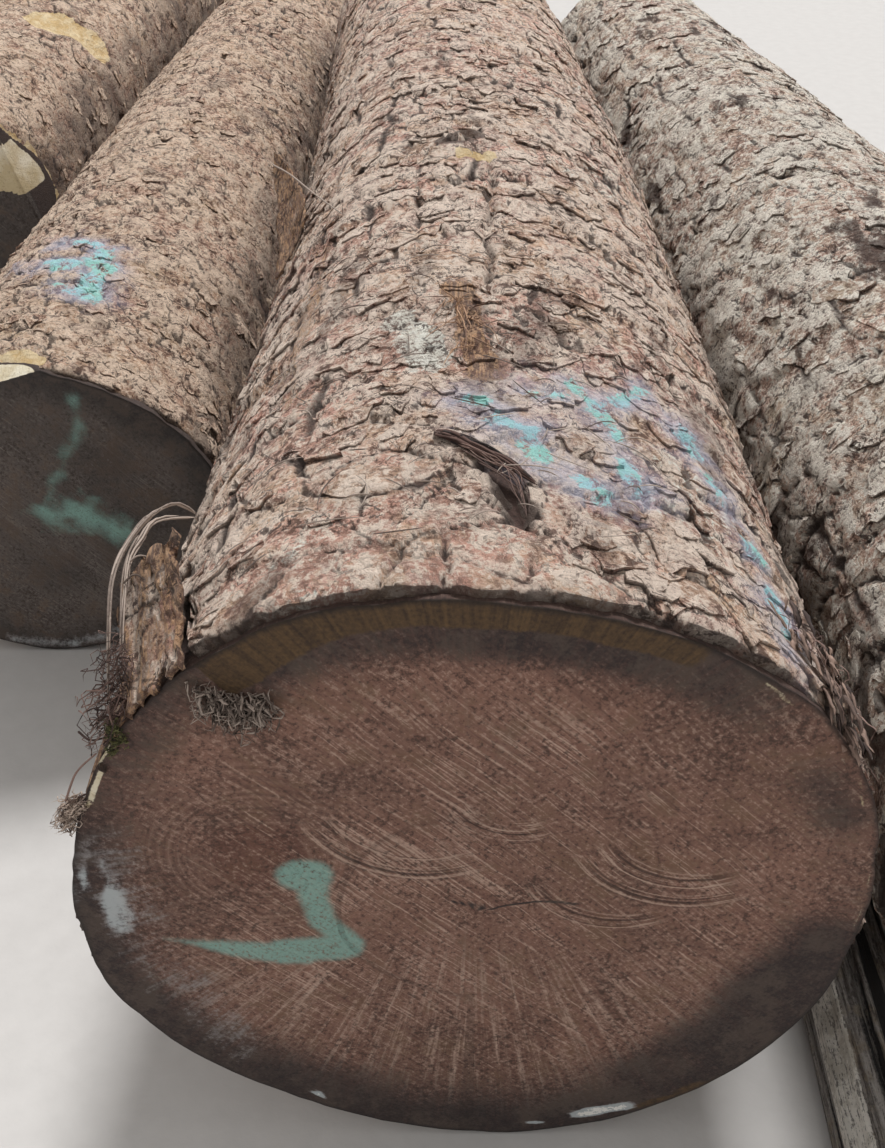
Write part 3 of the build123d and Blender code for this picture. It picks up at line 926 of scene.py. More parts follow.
def bundle(name, log, places, spread, reach, count, radius, finish, seed, wiggle=0.006, bulge=(0, 0, 0),
           flat=1.0, up=upright, stray=0.9):
    """A bundle of fibres: roots strewn round a broken line of (right, above, along), tips further on."""
    k = np.arange(count)
    where = scatter(k, 1, seed) * (len(places) - 1)
    line = beside_butt(log, places)
    low = np.minimum(where.astype(int), len(places) - 2)
    roots = line[low] + (line[low + 1] - line[low]) * (where - low)[:, None]
    strewn = scatter(k[:, None], np.arange(3)[None] + 4, seed) - 0.5
    roots = roots + strewn * np.array(spread) * 2
    aimed = scatter(k[:, None], np.arange(3)[None] + 8, seed) - 0.5
    tips = (roots + np.array(reach) * (0.4 + 0.8 * scatter(k, 2, seed))[:, None]
            + aimed * np.linalg.norm(reach) * stray)
    taper = radius * (0.5 + scatter(k, 3, seed))[:, None] * (1 - 0.6 * np.linspace(0, 1, fibre_stops))[None]
    sides = 3 if flat == 1.0 else 4
    threads(name, log, curled(roots, tips, bulge, wiggle, seed + 20), taper, finish, sides, flat, up)


def sheaf(name, log, path, width, count, radius, finish, seed, flat=1.0):
    """Fibres that run along one path side by side, each strewn across it and of its own length."""
    k, t = np.arange(count)[:, None], np.linspace(0, 1, 18)[None]
    first, last = 0.35 * scatter(k, 1, seed) ** 2, 1 - 0.45 * scatter(k, 2, seed) ** 1.5
    where = (first + (last - first) * t) * (len(path) - 1)
    own = np.stack([np.interp(where, np.arange(len(path)), path[:, axis]) for axis in range(3)], -1)
    swell = np.sin(np.pi * np.clip(0.12 + 0.8 * where / (len(path) - 1), 0, 1))
    strewn = scatter(k[..., None], np.arange(3)[None, None] + 3, seed) - 0.5
    drift = 0.3 * np.sin(2 * np.pi * (t[..., None] * 1.5 + strewn * 3))
    paths = own + 2 * np.asarray(width) * (strewn + drift * 0.35) * swell[..., None]
    threads(name, log, paths, radius * (0.5 + scatter(k, 7, seed)) * (1.2 - 0.6 * t), finish, 4, flat)


def strand(stops):
    """A smooth path through stops: each run is a cubic whose ends follow the neighbouring stops."""
    stops = np.asarray(stops, float)
    padded = np.concatenate([2 * stops[:1] - stops[1:2], stops, 2 * stops[-1:] - stops[-2:-1]])
    where = np.linspace(0, len(stops) - 1.000001, strand_stops)
    low = where.astype(int)
    t = (where - low)[:, None]
    a, b, c, d = padded[low], padded[low + 1], padded[low + 2], padded[low + 3]
    return b + 0.5 * t * (c - a + t * (2 * a - 5 * b + 4 * c - d + t * (3 * (b - c) + d - a)))


def beside_centre(stops):
    """A smooth path through places (right of the axis, above it, along) at the centre log's butt."""
    return strand(beside_butt(centre, stops))


def on_skin(log, stops, out):
    """World places of (degrees, along) on a log, standing out by so much."""
    stops = np.asarray(stops, float)
    return log.place((stops[:, 0] + 90) % 360 / 360, stops[:, 1], np.asarray(out, float))


def roots_on_skin(log, stops, out):
    """The same places as (right of the axis, above it, along) at the butt, as a bundle takes them."""
    x, y, z = on_skin(log, stops, [out] * len(stops)).T
    return np.stack([x - log.axis_x, z - log.heights[0], y - log.butt_y], -1)


# The centre log's torn strips: degrees from, degrees to, length
torn_strips = [(127, 138, 0.095), (138, 149, 0.060), (149, 163, 0.120), (163, 174, 0.085)]


def centre_lip(skin):
    """The broken lip, drawn back over the torn strips with ragged edges."""
    plain = broken_lip(0.009, 310)(skin)
    angle = skin.turn * 360 - 90
    torn = sum(length * rise(angle, start - 2, start + 1.5) * fall(angle, end - 1.5, end + 2)
               for start, end, length in torn_strips)
    return plain + torn * (0.85 + 0.25 * skin.rough(0.012, 321, 3))


def on_side(skin, turn, low, high):
    """1 on the side of a log that lies at this turn, 0 away from it."""
    return rise(np.cos(2 * np.pi * (skin.turn - turn)), low, high)


def crevices(skin, looks, *angles):
    """Painted shade on the flanks where a neighbour lies close, strongest at these degrees."""
    for angle in angles:
        close = rise(np.cos(2 * np.pi * (skin.turn - 0.25) - np.radians(angle)), 0.60, 0.97)
        # Painted shade, a little uneven
        crevice_shade = close * (0.62 + 0.25 * skin.rough(0.09, 461, 3))
        at_least(looks, "shade", crevice_shade)


def spray(looks, skin, strokes):
    """Sprayed strokes: broken lines, each with its half width."""
    for stops, half_width in strokes:
        at_most(looks, "mark", skin.from_path(stops) - half_width)


def centre_details(skin, looks):
    """The centre log's own scars and marks: long split, knot, hollow under a splinter, sprayed dashes."""
    height = looks["height"]
    crevices(skin, looks, 0, 180)
    split = skin.bent(0.05, 0.012, 401).from_path([(87, 1.03), (87.2, 0.90), (88.2, 0.75), (88.1, 0.57)])
    height -= 0.010 * fall(split, 0.001, 0.008)
    knot = skin.bent(0.03, 0.008, 411).from_path([(97, 1.10), (91, 1.12)])
    height += 0.010 * fall(knot, 0.012, 0.05) - 0.024 * fall(knot, 0.0, 0.016)
    hollow = skin.bent(0.03, 0.012, 421).from_path([(88.5, 0.195), (85.5, 0.165), (83.5, 0.115)])
    height -= 0.020 * fall(hollow, 0.002, 0.020)
    at_least(looks, "shade", 1.4 * fall(hollow, 0.006, 0.026))
    ridge = [(96.1, 0.172), (93.8, 0.184), (91.1, 0.176), (87.1, 0.163), (85.6, 0.145)]
    ridge = skin.bent(0.02, 0.004, 423).from_path(ridge)
    height += 0.007 * fall(ridge, 0.001, 0.007)
    for stops in ([(97.5, 0.085), (99.4, 0.044), (101.3, 0.004)], [(94.2, 0.09), (93.6, 0.038), (93.2, 0.0)]):
        line = skin.bent(0.02, 0.005, 431).from_path(stops)
        height -= 0.006 * fall(line, 0.0005, 0.0045)
        at_most(looks, "crack", line - 0.0005)
    smooth = fall(skin.from_path([(112, 0.02), (103, 0.05), (97, 0.05), (88, 0.03)]), 0.035, 0.075) * 0.9
    smooth = np.maximum(smooth, 0.7 * skin.patches(0.10, 445, 3, 0.25, 0.5) * fall(skin.along, 0.3, 0.6))
    looks["smooth"] = smooth
    looks["crack"] = looks["crack"] + 0.0008 * smooth * (looks["crack"] > 0)
    rusty_left = skin.bent(0.06, 0.03, 447).from_path([(121, 0.38), (126, 0.50), (124, 0.66), (128, 0.95)])
    at_least(looks, "shade", 0.42 * fall(rusty_left, 0.01, 0.07))
    at_most(looks, "crack", np.minimum(split, knot - 0.010))
    at_least(looks, "shade", 1.4 * fall(knot, 0.012, 0.030))
    chip = skin.bent(0.02, 0.006, 413).from_path([(92.5, 1.055), (88.5, 1.05)])
    looks["bare"] = 0.9 * fall(chip, 0.010, 0.026)
    white = skin.bent(0.04, 0.02, 441).from_path([(103.6, 0.51), (100.6, 0.457), (97.8, 0.406)])
    at_least(looks, "lichen", 0.85 * fall(white, 0.004, 0.042))
    flecks = skin.patches(0.16, 443, 3, 0.25, 0.7) * on_side(skin, 0.62, 0.5, 0.95)
    at_least(looks, "lichen", 0.42 * flecks)
    right_side = on_side(skin, 0.385, 0.75, 0.98) * skin.patches(0.12, 449, 3, -0.3, 0.5)
    at_least(looks, "lichen", 0.40 * right_side)
    rust = skin.bent(0.04, 0.016, 451).from_path([(94.0, 0.58), (91.6, 0.50), (89.8, 0.43), (88.8, 0.37)])
    looks["rusty"] = 0.85 * fall(rust, 0.003, 0.024) + 0.22 * skin.patches(0.22, 453, 3, 0.0, 0.8)
    at_least(looks, "rusty", 0.45 * fall(rusty_left, 0.01, 0.06))
    low = on_side(skin, 0, -0.5, 0.3) * fall(skin.along, 0.012, 0.05)
    height += 0.0090 * low * skin.rough(0.015, 455, 3)
    spray(looks, skin, [([(92, 0.315), (90, 0.31)], 0.007), ([(87.5, 0.275), (83, 0.255)], 0.010),
                        ([(83, 0.24), (80.5, 0.215)], 0.013), ([(81, 0.345), (78, 0.345)], 0.006),
                        ([(75, 0.375), (71.5, 0.34), (69, 0.29)], 0.010),
                        ([(71, 0.34), (66, 0.38), (62, 0.42)], 0.007), ([(77, 0.20), (73, 0.165)], 0.008),
                        ([(69, 0.24), (66.5, 0.19)], 0.007), ([(56, 0.37), (54, 0.33)], 0.011),
                        ([(52.5, 0.29), (51, 0.26)], 0.009), ([(48.5, 0.225), (46.2, 0.19)], 0.008),
                        ([(46.3, 0.13), (46.0, 0.06)], 0.010)])


def left_details(skin, looks):
    """The left log's sprayed patch near its butt, and the pale spot where a bit is knocked off."""
    ragged = skin.bent(0.03, 0.012, 501).bent(0.012, 0.008, 502)
    spray(looks, ragged, [([(101, 0.478), (87, 0.466)], 0.008), ([(84, 0.44), (81, 0.36), (80, 0.27)], 0.022),
                          ([(100, 0.39), (88, 0.37)], 0.016), ([(92, 0.30), (84, 0.26)], 0.010),
                          ([(118, 0.42), (106, 0.36)], -0.006)])
    crevices(skin, looks, 0, 180)
    looks["rusty"] = 0.25 * skin.patches(0.2, 503, 3, 0.0, 0.8)
    knocked = skin.bent(0.03, 0.010, 505).from_path([(98, 0.020), (92, 0.028), (86, 0.026)])
    looks["bare"] = fall(knocked, 0.020, 0.034)
    looks["height"] -= 0.006 * looks["bare"]


def far_left_details(skin, looks):
    """A patch where the bark is knocked off down to yellow wood."""
    crevices(skin, looks, 0)
    patch = skin.bent(0.06, 0.03, 511).from_path([(65, 0.70), (55, 0.77), (43, 0.765)])
    looks["bare"] = fall(patch, 0.030, 0.085)
    looks["height"] *= 1 - 0.8 * looks["bare"]
    looks["height"] -= 0.010 * looks["bare"]


def right_details(skin, looks):
    """Pale lichen over the right log's upper left side."""
    crevices(skin, looks, 192)
    patch = skin.bent(0.1, 0.06, 521).from_path([(144, 2.3), (129, 1.65), (121, 1.2), (120, 0.66)])
    looks["lichen"] = 0.36 * fall(patch, 0.02, 0.14) * skin.patches(0.09, 523, 3, -0.4, 0.3)
    looks["rusty"] = 0.2 * skin.patches(0.2, 525, 3, 0.0, 0.8)


def face_skin(x, z):
    """A sawn face as a skin, for the noise on it; it reaches 1.5 m to each side of the axis."""
    return Skin(x / 3 + 0.5, z + 1, 3.0)


def centre_face(x, z, share, face):
    """Stains, scuffs and the sprayed mark on the centre log's butt, by place right of and above its axis."""
    skin, flat = face_skin(x, z), Skin(x, z, 1.0)
    angle = np.degrees(np.arctan2(z, x))
    upper = rise(angle, 54, 72) * fall(angle, 123.5, 126.5)
    band = 1 - 0.075 - 0.045 * rise(angle, 100, 120) + 0.010 * skin.rough(0.04, 601, 3)
    face["olive"][:] = rise(share, band - 0.01, band + 0.03) * rise(upper, 0.1, 0.5)
    spot = flat.from_line([(0.300, -0.246), (0.222, -0.300), (0.165, -0.330)])
    spot = spot + 0.010 * skin.rough(0.02, 603, 2)
    at_least(face, "olive", 0.62 * fall(spot, 0.004, 0.018))
    under_band = rise(share, 0.78, 0.90) * rise(angle, 30, 60) * fall(angle, 116, 136)
    lower = rise(-z, 0.05, 0.27)
    beside = rise(np.abs(x), 0.20, 0.34)
    calm = rise(angle, -20, 5) * fall(angle, 60, 75) + 0.4 * rise(angle, 110, 130) * fall(angle, 150, 165)
    rim_stain = rise(share, 0.80 - 0.22 * lower - 0.10 * beside, 1.0 - 0.05 * lower) * (1 - 0.75 * calm)
    right_stain = 0.7 * fall(flat.from_line([(0.28, 0.165), (0.308, 0.125)]), 0.0, 0.05)
    low_stain = 0.95 * fall(flat.from_line([(0.17, -0.27), (0.25, -0.18), (0.32, -0.05)]), 0.01, 0.08)
    left_stain = 0.45 * fall(flat.from_line([(-0.30, 0.16), (-0.33, -0.05), (-0.26, -0.2)]), 0.0, 0.12)
    stain = np.maximum.reduce([0.85 * under_band, rim_stain, right_stain, low_stain, left_stain])
    face["stain"][:] = stain + 0.12 * skin.rough(0.06, 611, 3)
    face["fan"][:] = 0.15 + 0.85 * rise(-z, 0.02, 0.12) * fall(share, 0.86, 0.95)
    check = flat.bent(0.05, 0.006, 613)
    line = check.from_line([(-0.022, 0.016), (0.012, 0.006), (0.05, 0.016), (0.09, 0.014)])
    at_least(face, "stain", 1.2 * fall(line, 0.0004, 0.0022))
    chips = [([(0.116, -0.340), (0.160, -0.326)], 0.007), ([(-0.160, -0.300), (-0.153, -0.303)], 0.004),
             ([(0.066, -0.356), (0.074, -0.355)], 0.003)]
    rim_line = flat.from_line([(0.21, 0.284), (0.273, 0.225), (0.312, 0.163), (0.342, 0.076)])
    low_line = flat.from_line([(0.344, 0.055), (0.344, -0.006), (0.338, -0.045)])
    gold = flat.from_line([(0.282, -0.228), (0.251, -0.265), (0.214, -0.302)])
    sliver = flat.from_line([(-0.290, 0.222), (-0.309, 0.170), (-0.324, 0.139)])
    face["bare"][:] = np.maximum.reduce([
        0.50 * fall(rim_line, 0.0008, 0.007) * skin.patches(0.03, 617, 2, -0.5, 0.3),
        0.9 * fall(sliver, 0.001, 0.004),
        0.46 * fall(low_line, 0.001, 0.008) * skin.patches(0.02, 621, 2, -0.4, 0.4),
        0.40 * fall(gold, 0.002, 0.010) * skin.patches(0.03, 623, 2, -0.4, 0.4)])
    white = np.zeros_like(x)
    for stops, half_width in chips:
        chip = check.from_line(stops) + 0.003 * skin.rough(0.008, 619, 2)
        white = np.maximum(white, 1.6 * fall(chip, half_width - 0.003, half_width + 0.003))
    scuff = 0.5 * fall(flat.from_line([(-0.31, 0.09), (-0.30, -0.05), (-0.23, -0.20)]), 0.01, 0.07)
    smear = 0.62 * fall(flat.from_line([(-0.352, 0.078), (-0.336, 0.000)]), 0.002, 0.050)
    smear = smear * rise(face_skin(x, 0.2 * z).rough(0.010, 633, 3), -0.5, 0.4)
    face["scuff"][:] = scuff + smear + white
    stroke = [(-0.158, 0.054), (-0.140, 0.057), (-0.143, 0.020), (-0.136, -0.012), (-0.114, -0.044),
              (-0.160, -0.061), (-0.216, -0.052), (-0.285, -0.034)]
    thinning = 0.014 * rise(-x, 0.20, 0.29)
    face["mark"][:] = np.minimum.reduce([flat.from_line(stroke) - 0.014 + thinning,
                                         flat.from_line([(-0.154, 0.052), (-0.143, 0.054)]) - 0.020,
                                         flat.from_line([(-0.120, -0.048), (-0.175, -0.056)]) - 0.019])


def left_face(x, z, share, face):
    """The left log's darker butt with its faded sprayed curve and lichen along its lower rim."""
    skin, flat = face_skin(x, z), Skin(x, z, 1.0)
    face["stain"][:] = 0.45 + 0.35 * skin.rough(0.10, 621, 3) + 0.5 * rise(share, 0.75, 1.0)
    face["ring"][:] = 0.5 + z + 0.02 * x
    face["hair"][:] = x
    lichen = flat.from_line([(-0.10, -0.226), (-0.02, -0.236), (0.06, -0.218), (0.131, -0.150)])
    face["scuff"][:] = 0.7 * fall(lichen, 0.0, 0.026) + 0.3 * skin.patches(0.05, 625, 3, 0.1, 0.7)
    curve = [(0.083, 0.203), (0.080, 0.156), (0.039, 0.09), (0.005, 0.03), (0.007, 0.005)]
    blot = [(0.010, 0.012), (0.068, 0.011), (0.100, -0.020)]
    mark = 0.25 * flat.from_line(curve) + 0.0002 + 0.0028 * skin.rough(0.02, 627, 3)
    blotted = 0.25 * flat.from_line(blot) - 0.005 + 0.005 * skin.rough(0.02, 629, 3)
    face["mark"][:] = np.minimum(mark, blotted)


def far_left_face(x, z, share, face):
    """The far left log's butt: darkened all over as painted shade, with the pale fresh wood of the slanting
    cut running onto it.
    """
    # The stain field here paints the whole butt darker: painted shade
    face["stain"][:] = 0.6
    face["bare"][:] = far_left_fresh(x, z) * rise(x, 0.165, 0.175)


def far_left_fresh(x, z):
    """Share of fresh pale wood on the far left log's slanting cut: a block bounded by straight splits."""
    wander = 0.004 * face_skin(x, z).rough(0.02, 641, 3)
    lower = z - 0.058 - 0.2 * np.maximum(0.225 - x, 0) - 0.45 * np.maximum(x - 0.245, 0) + wander
    upper, right_of = 0.160 - z + wander, 0.312 - x
    return rise(lower, -0.003, 0.003) * rise(upper, -0.003, 0.003) * rise(right_of, -0.003, 0.003)


# Each log's bark: the log, how its bark is broken up, its finish, its front edge, its own marks, its cut
bark_centre = Bark(11)
centre_bark = (centre, bark_centre, finish_centre, centre_lip, centre_details, None)
right_bark = (right, Bark(23, plate=0.062, crack_depth=0.006), finish_right, broken_lip(0.014, 330),
              right_details, None)
left_bark = (left, Bark(37, plate=0.036, furrows=0.4), finish_left, broken_lip(0.010, 340), left_details,
             left_cut)
far_left_bark = (far_left, Bark(53, plate=0.036, furrows=0.4), finish_left, broken_lip(0.010, 350),
                 far_left_details, far_left_cut)

bark_jacket("centre_bark", *centre_bark, 396, 236, 7.0)
bark_jacket("right_bark", *right_bark, 250, 220, 4.0)
bark_jacket("left_bark", *left_bark, 220, 220, 3.0)
bark_jacket("far_left_bark", *far_left_bark, 180, 160, 2.5)
loose_scales("centre_scales", *centre_bark, 1800, 901, 2.7, (0.007, 0.026))
loose_scales("right_scales", *right_bark, 800, 902, 2.7, (0.009, 0.030))
loose_scales("left_scales", *left_bark, 600, 903, 2.6, (0.007, 0.020))
loose_scales("far_left_scales", *far_left_bark, 300, 904, 2.6, (0.008, 0.022))
wood_body("centre_wood", centre, 71, 330, 64, finish_sawn, even_rim(0.004, 710, 0.009), centre_face,
          pith=(-0.185, 0.076))
wood_body("right_wood", right, 72, 160, 24, finish_sawn_dark, even_rim(0.005, 720))
wood_body("left_wood", left, 73, 220, 44, finish_sawn_dark, even_rim(0.005, 730), left_face, left_cut)
wood_body("far_left_wood", far_left, 74, 160, 30, finish_sawn_dark, even_rim(0.005, 740), far_left_face,
          far_left_cut, fresh=far_left_fresh)


def slab(name, outer, inner, looks):
    """A thin curved piece of the centre log's bark: a sheet outside, one inside, joined round the edge."""
    count = outer[..., 0].size
    top, rim = sheet(np.arange(count).reshape(outer.shape[:2]))
    fields = {key: np.concatenate([looks[key].ravel(), looks[key].ravel()]) for key in bark_fields}
    fields["rusty"][count:] = 0.9
    piece = add_mesh(name, np.concatenate([outer.reshape(-1, 3), inner.reshape(-1, 3)]),
                     np.concatenate([top, top[:, ::-1] + count, wall(rim, count)]), finish_centre, fields)
    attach(piece, "root")
    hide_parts("log_centre")


def torn_shoulder():
    """The centre log's torn left shoulder: three slabs of bark that stand off it, strands that loop from
    it, and tangled fibres."""
    slabs = [((126.5, 137.5), (-0.002, 0.118), 0.050, 1), ((136, 150), (0.004, 0.10), 0.010, 2),
             ((148, 166), (0.010, 0.09), 0.008, 3)]
    for (low, high), (front, back), stand_off, number in slabs:
        u, v = np.linspace(0, 1, 44)[None], np.linspace(0, 1, 60)[:, None]
        edge = Skin(u * 0.2 + 0.1 * number, v * 0.2, 1.0)
        ends = (2 * v - 1) ** 8
        angle = low + (high - low) * u + (0.8 + 2.0 * v) * edge.rough(0.04, 931 + number, 3)
        along = front + (back - front) * v + 0.012 * edge.noise(0.02, 941 + number) * ends
        skin = centre.skin((angle + 90) % 360 / 360, along)
        looks = bark_looks(skin, bark_centre, None)
        ridges = Skin(u * 0.2, v * 0.01 + 0.1 * number, 1.0).rough(0.016, 951, 3)
        out = stand_off * v ** 1.2 - 0.004 + 0.3 * looks["height"] + 0.004 * ridges
        looks["rusty"] = 0.5 + 0.3 * ridges
        outer = centre.place(skin.turn, np.maximum(along, -0.004), out)
        inner = centre.place(skin.turn, np.maximum(along, -0.004), out - 0.006 - 0.004 * v)
        slab(f"torn_slab_{number}", outer, inner, looks)
    loop = beside_centre([
        (-0.250, 0.270, 0.24), (-0.266, 0.290, 0.23), (-0.282, 0.298, 0.20), (-0.290, 0.302, 0.165),
        (-0.293, 0.306, 0.13), (-0.292, 0.307, 0.095), (-0.287, 0.305, 0.06), (-0.286, 0.280, 0.03),
        (-0.288, 0.250, 0.015)])
    inside = beside_centre([
        (-0.250, 0.272, 0.235), (-0.277, 0.296, 0.195), (-0.283, 0.300, 0.16), (-0.285, 0.305, 0.125),
        (-0.282, 0.301, 0.09), (-0.278, 0.290, 0.05), (-0.276, 0.262, 0.02)])
    branch = beside_centre([(-0.286, 0.304, 0.120), (-0.275, 0.309, 0.125), (-0.262, 0.300, 0.130)])
    twig = beside_centre([(-0.284, 0.303, 0.095), (-0.273, 0.310, 0.098), (-0.262, 0.296, 0.100)])
    sheaf("looping_strand", centre, loop, (0.0022, 0.0026, 0.0016), 16, 0.0009, finish_strand, 955)
    sheaf("inner_strand", centre, inside, (0.0030, 0.0030, 0.0024), 7, 0.0007, finish_strand, 956)
    thinner = np.linspace(0, 1, strand_stops)
    threads("strand_branches", centre, [branch, twig], 0.00104 * (1 - 0.45 * thinner), finish_strand)
    twigs = [beside_centre(stops) for stops in (
        [(-0.338, 0.149, 0.0), (-0.323, 0.182, 0.002), (-0.305, 0.197, 0.01)],
        [(-0.312, 0.231, 0.0), (-0.304, 0.221, 0.0), (-0.294, 0.214, 0.01)],
        [(-0.345, 0.132, 0.0), (-0.334, 0.150, 0.0), (-0.316, 0.152, 0.01)])]
    threads("thin_twigs", centre, twigs, 0.0011 * (1 - 0.3 * thinner), finish_dark_fibre)
    bundle("shoulder_tangle", centre, [(-0.270, 0.300, 0.03), (-0.278, 0.262, 0.02), (-0.288, 0.235, 0.008)],
           (0.008, 0.010, 0.012), (-0.008, 0.002, -0.026), 150, 0.0007, finish_dark_fibre, 961, 0.010,
           (-0.006, 0, -0.004))
    bundle("face_tuft", centre, [(-0.212, 0.272, 0.004), (-0.190, 0.262, 0.002), (-0.162, 0.258, 0.002)],
           (0.008, 0.004, 0.008), (0.002, -0.010, -0.010), 240, 0.0011, finish_strand, 962, 0.010,
           (0, -0.004, 0))
    bundle("rim_moss", centre, [(-0.286, 0.236, 0.002), (-0.277, 0.222, 0.002), (-0.290, 0.206, 0.004)],
           (0.004, 0.004, 0.005), (-0.002, -0.003, 0.002), 220, 0.0007, finish_moss, 963, 0.002)
    bundle("lichen_tuft", centre, [(-0.322, 0.150, 0.004), (-0.334, 0.134, 0.006), (-0.338, 0.118, 0.008)],
           (0.006, 0.006, 0.006), (-0.010, -0.004, -0.002), 160, 0.0009, finish_fibre, 964, 0.006)


def splinters():
    """A dark splinter that stands off over a hollow, the ragged right shoulder, and fibres in the rusty
    scar."""
    over = [(96.2, 0.243), (93.3, 0.232), (89.8, 0.213), (85.7, 0.189), (82.0, 0.162)]
    sliver = strand(on_skin(centre, over, [0.005, 0.005, 0.004, 0.004, 0.002]))
    sheaf("dark_splinter", centre, sliver, (0.001, 0.010, 0.003), 26, 0.0034, finish_splinter, 973, 0.3)
    below = [(93.0, 0.212), (89.6, 0.192), (86.6, 0.172), (84.8, 0.150), (83.6, 0.118)]
    under = strand(on_skin(centre, below, [0.005, 0.005, 0.003, 0.0, -0.006]))
    sheaf("splinter_fibres", centre, under, (0.012, 0.014, 0.005), 10, 0.0006, finish_dark_fibre, 974)
    line = roots_on_skin(centre, [(47.5, 0.085), (44, 0.06), (39, 0.045), (34, 0.03)], 0.004)
    bundle("right_shoulder_strips", centre, line, (0.010, 0.034, 0.012), (0.003, -0.024, -0.010), 90, 0.0056,
           finish_torn, 971, 0.0012, (0.0005, 0, 0.001), 0.14, (0.7, -0.1, 0.7), 0.4)
    bundle("right_shoulder_fibres", centre, line, (0.010, 0.034, 0.012), (0.006, -0.030, -0.014), 40, 0.0006,
           finish_dark_fibre, 976, 0.006, (0.004, 0, 0.004), stray=0.5)
    scar = roots_on_skin(centre, [(94.6, 0.57), (92.5, 0.51), (89.8, 0.44)], 0.002)
    bundle("rusty_fibres", centre, scar, (0.008, 0.02, 0.003), (-0.003, -0.085, 0.002), 60, 0.0008,
           finish_rusty_fibre, 972, 0.003, (0, 0, 0.002))


def fibres_on_bark():
    """Loose fibres that lie curved on the upper side of the centre log."""
    k = np.arange(190)[:, None]
    t = np.linspace(-1, 1, fibre_stops)[None]
    heading = 2 * np.pi * scatter(k, 1, 981)
    reach = 0.008 + 0.024 * scatter(k, 2, 981) ** 2
    bend = 0.6 * (scatter(k, 3, 981) - 0.5)
    across = reach * (t * np.cos(heading) - bend * t ** 2 * np.sin(heading))
    ahead = reach * (t * np.sin(heading) + bend * t ** 2 * np.cos(heading))
    turn = (65 + 60 * scatter(k, 4, 981) + 90) / 360 + across / centre.girth
    along = 0.07 + 1.5 * scatter(k, 5, 981) ** 1.3 + ahead
    lying = centre.place(turn, along, 0.0035 + 0.006 * scatter(k, 6, 981) * (1 - t ** 2))
    threads("loose_fibres", centre, lying, 0.0007 * (1 - 0.4 * t ** 2), finish_strand, 3)


def flap():
    """The flap of bark that stands up at the centre log's left side, with a thin strand on it."""
    u, v = np.linspace(-1, 1, 16)[None], np.linspace(0, 1, 40)[:, None]
    ragged = Skin(0.2 * u + 0.5, 0.3 * v, 1.0).rough(0.03, 975, 3)
    skin = centre.skin((234 + (9.0 * u + 1.5 * ragged) * (1 - v) ** 0.7) / 360, 1.08 + 0.32 * v)
    looks = bark_looks(skin, bark_centre, None)
    looks["rusty"] = 0.62 + 0.2 * ragged
    out = 0.001 + 0.080 * v ** 1.4 + 0.010 * u ** 2 * (1 - v) + 0.002 * ragged + 0.3 * looks["height"]
    slab("left_flap", centre.place(skin.turn, skin.along, out),
         centre.place(skin.turn, skin.along, out - 0.004), looks)
    trailing = strand(on_skin(centre, [(146, 1.39), (138, 1.24), (129, 1.07), (120, 0.925)],
                              [0.077, 0.050, 0.022, 0.003]))
    thinner = np.linspace(0, 1, strand_stops)
    threads("flap_strand", centre, [trailing], 0.0016 * (1 - 0.5 * thinner), finish_strand)


torn_shoulder()
splinters()
fibres_on_bark()
flap()


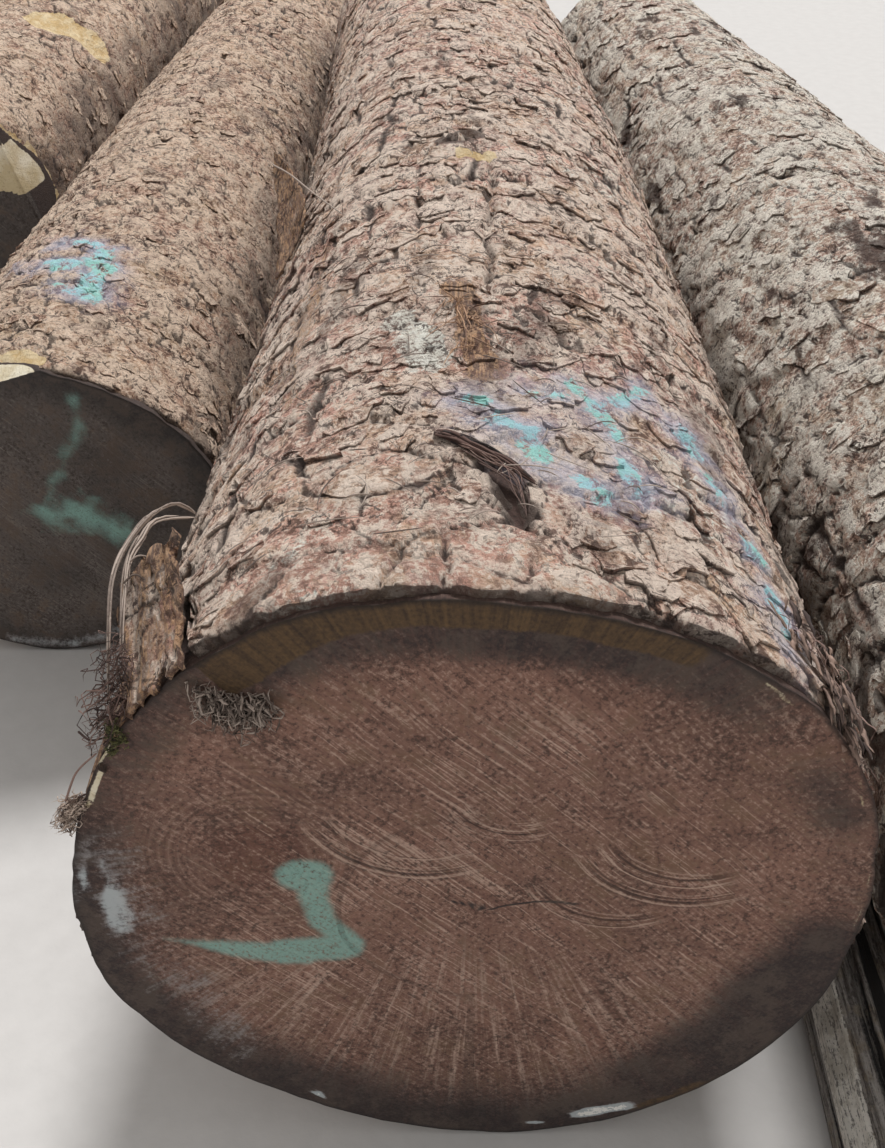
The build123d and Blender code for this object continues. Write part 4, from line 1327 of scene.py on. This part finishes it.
def chock_timber():
    """The offcut: a sawn section carried along its length, with rounded arrises, pale from wear and a painted
    highlight on one side, grain and a drying crack.
    """
    low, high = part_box("chock_timber")
    heading = np.radians(1.5)
    length = (high.y - low.y) * 0.994
    wide, tall = 0.100, 0.100
    around, rows = 112, 96
    walk = np.arange(around) / around * 4
    side, share = np.floor(walk), walk - np.floor(walk)
    across = np.select([side == 0, side == 1, side == 2], [share, 1, 1 - share], 0.0)
    up = np.select([side == 0, side == 1, side == 2], [0, share, 1], 1 - share)
    along = np.linspace(0, 1, rows)[:, None]
    skin = Skin(walk[None] / 4, along * length, 0.4)
    groove = 0.003 * skin.rough(0.009, 801, 3, 30) + 0.0015 * skin.rough(0.03, 802, 3, 8)
    crack = np.exp(-((across - 0.45) / 0.03) ** 2) * (up > 0.99)
    x, z = (across - 0.5) * wide, (up - 0.5) * tall
    squareness = 8
    corner = (np.abs(x) / (wide / 2)) ** squareness + (np.abs(z) / (tall / 2)) ** squareness
    round_off = corner ** (-1 / squareness)
    wane = np.maximum(0, 0.012 - across * 0.02) * (up > 0.8)
    shrink = 1 + (groove - 0.003) / 0.05
    x = x * round_off * shrink + wane
    z = z * round_off * shrink - 0.016 * crack * (0.7 + 0.3 * skin.noise(0.2, 803))
    y = (along - 0.5) * length * np.ones_like(x)
    middle = Vector(((low.x + high.x) / 2, (low.y + high.y) / 2, 0))
    world_x = middle.x + x * np.cos(heading) + y * np.sin(heading)
    world_y = middle.y - x * np.sin(heading) + y * np.cos(heading)
    points = np.stack([world_x, world_y, np.clip(z + tall / 2, 0.0002, tall)], -1)
    ends = points.mean(1)[[0, -1]]
    # Wear and a painted highlight towards the upper arris of one side
    worn = rise(np.abs(across - 0.02), 0.10, 0.0) * (up > 0.5) * np.ones_like(x)
    points = np.concatenate([points.reshape(-1, 3), ends])
    worn = np.concatenate([worn.ravel(), [0, 0]])
    piece = add_mesh("weathered_chock", points, ring_quads(rows, around), finish_timber, {"worn": worn},
                     end_fans(rows, around))
    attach(piece, "root")
    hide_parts("chock_timber")


chock_timber()


def floor():
    """A wide pale floor under the stack."""
    half = 20.0
    points = [(-half, -half, 0), (half, -half, 0), (half, half, 0), (-half, half, 0)]
    s = Shader("pale_floor")
    speck = s.noise(s.place, 30, 6)
    s.colour = s.mix(speck, tone(192, 189, 186), tone(206, 203, 200))
    piece = add_mesh("floor", points, np.array([[0, 1, 2, 3]]), s.finish(0.95, 0.001 * speck))


def light():
    """Soft light from all over the sky, and a wide sun, high beyond the stack and a little to one side,
    that puts the scales' raised edges in shade."""
    world = bpy.data.worlds.new("studio")
    world.use_nodes = True
    sky = world.node_tree.nodes["Background"].inputs
    sky["Color"].default_value = (1.0, 0.99, 0.98, 1)
    sky["Strength"].default_value = 0.60
    bpy.context.scene.world = world
    sun = bpy.data.lights.new("soft_sun", "SUN")
    sun.energy, sun.angle = 3.0, np.radians(14)
    add_object("soft_sun", sun).rotation_euler = (np.radians(-36), np.radians(12), 0)


# Camera: place from the centre log's butt axis, and its turns, as fitted to the logs' outlines
camera_beside, camera_before, camera_height = -0.017, 0.702, 1.2997
pitch_down, turned_left, rolled = np.radians(37.41), np.radians(0.59), np.radians(-0.90)
focal_pixels, photo_height, sensor_long_side = 1248.6, 1148, 36.0


def camera():
    """The photograph's viewpoint: a phone held at chest height, looking down at the near butt."""
    lens = bpy.data.cameras.new("viewpoint")
    lens.sensor_fit, lens.sensor_width = "AUTO", sensor_long_side
    lens.lens = focal_pixels * sensor_long_side / photo_height
    holder = add_object("viewpoint", lens)
    stand = Matrix.Translation((centre.axis_x + camera_beside, centre.butt_y - camera_before, camera_height))
    turns = Matrix.Rotation(turned_left, 4, "Z") @ Matrix.Rotation(np.pi / 2 - pitch_down, 4, "X")
    holder.matrix_world = stand @ turns @ Matrix.Rotation(rolled, 4, "Z")
    bpy.context.scene.camera = holder


floor()
light()
camera()
bpy.context.scene.view_settings.view_transform = "Standard"
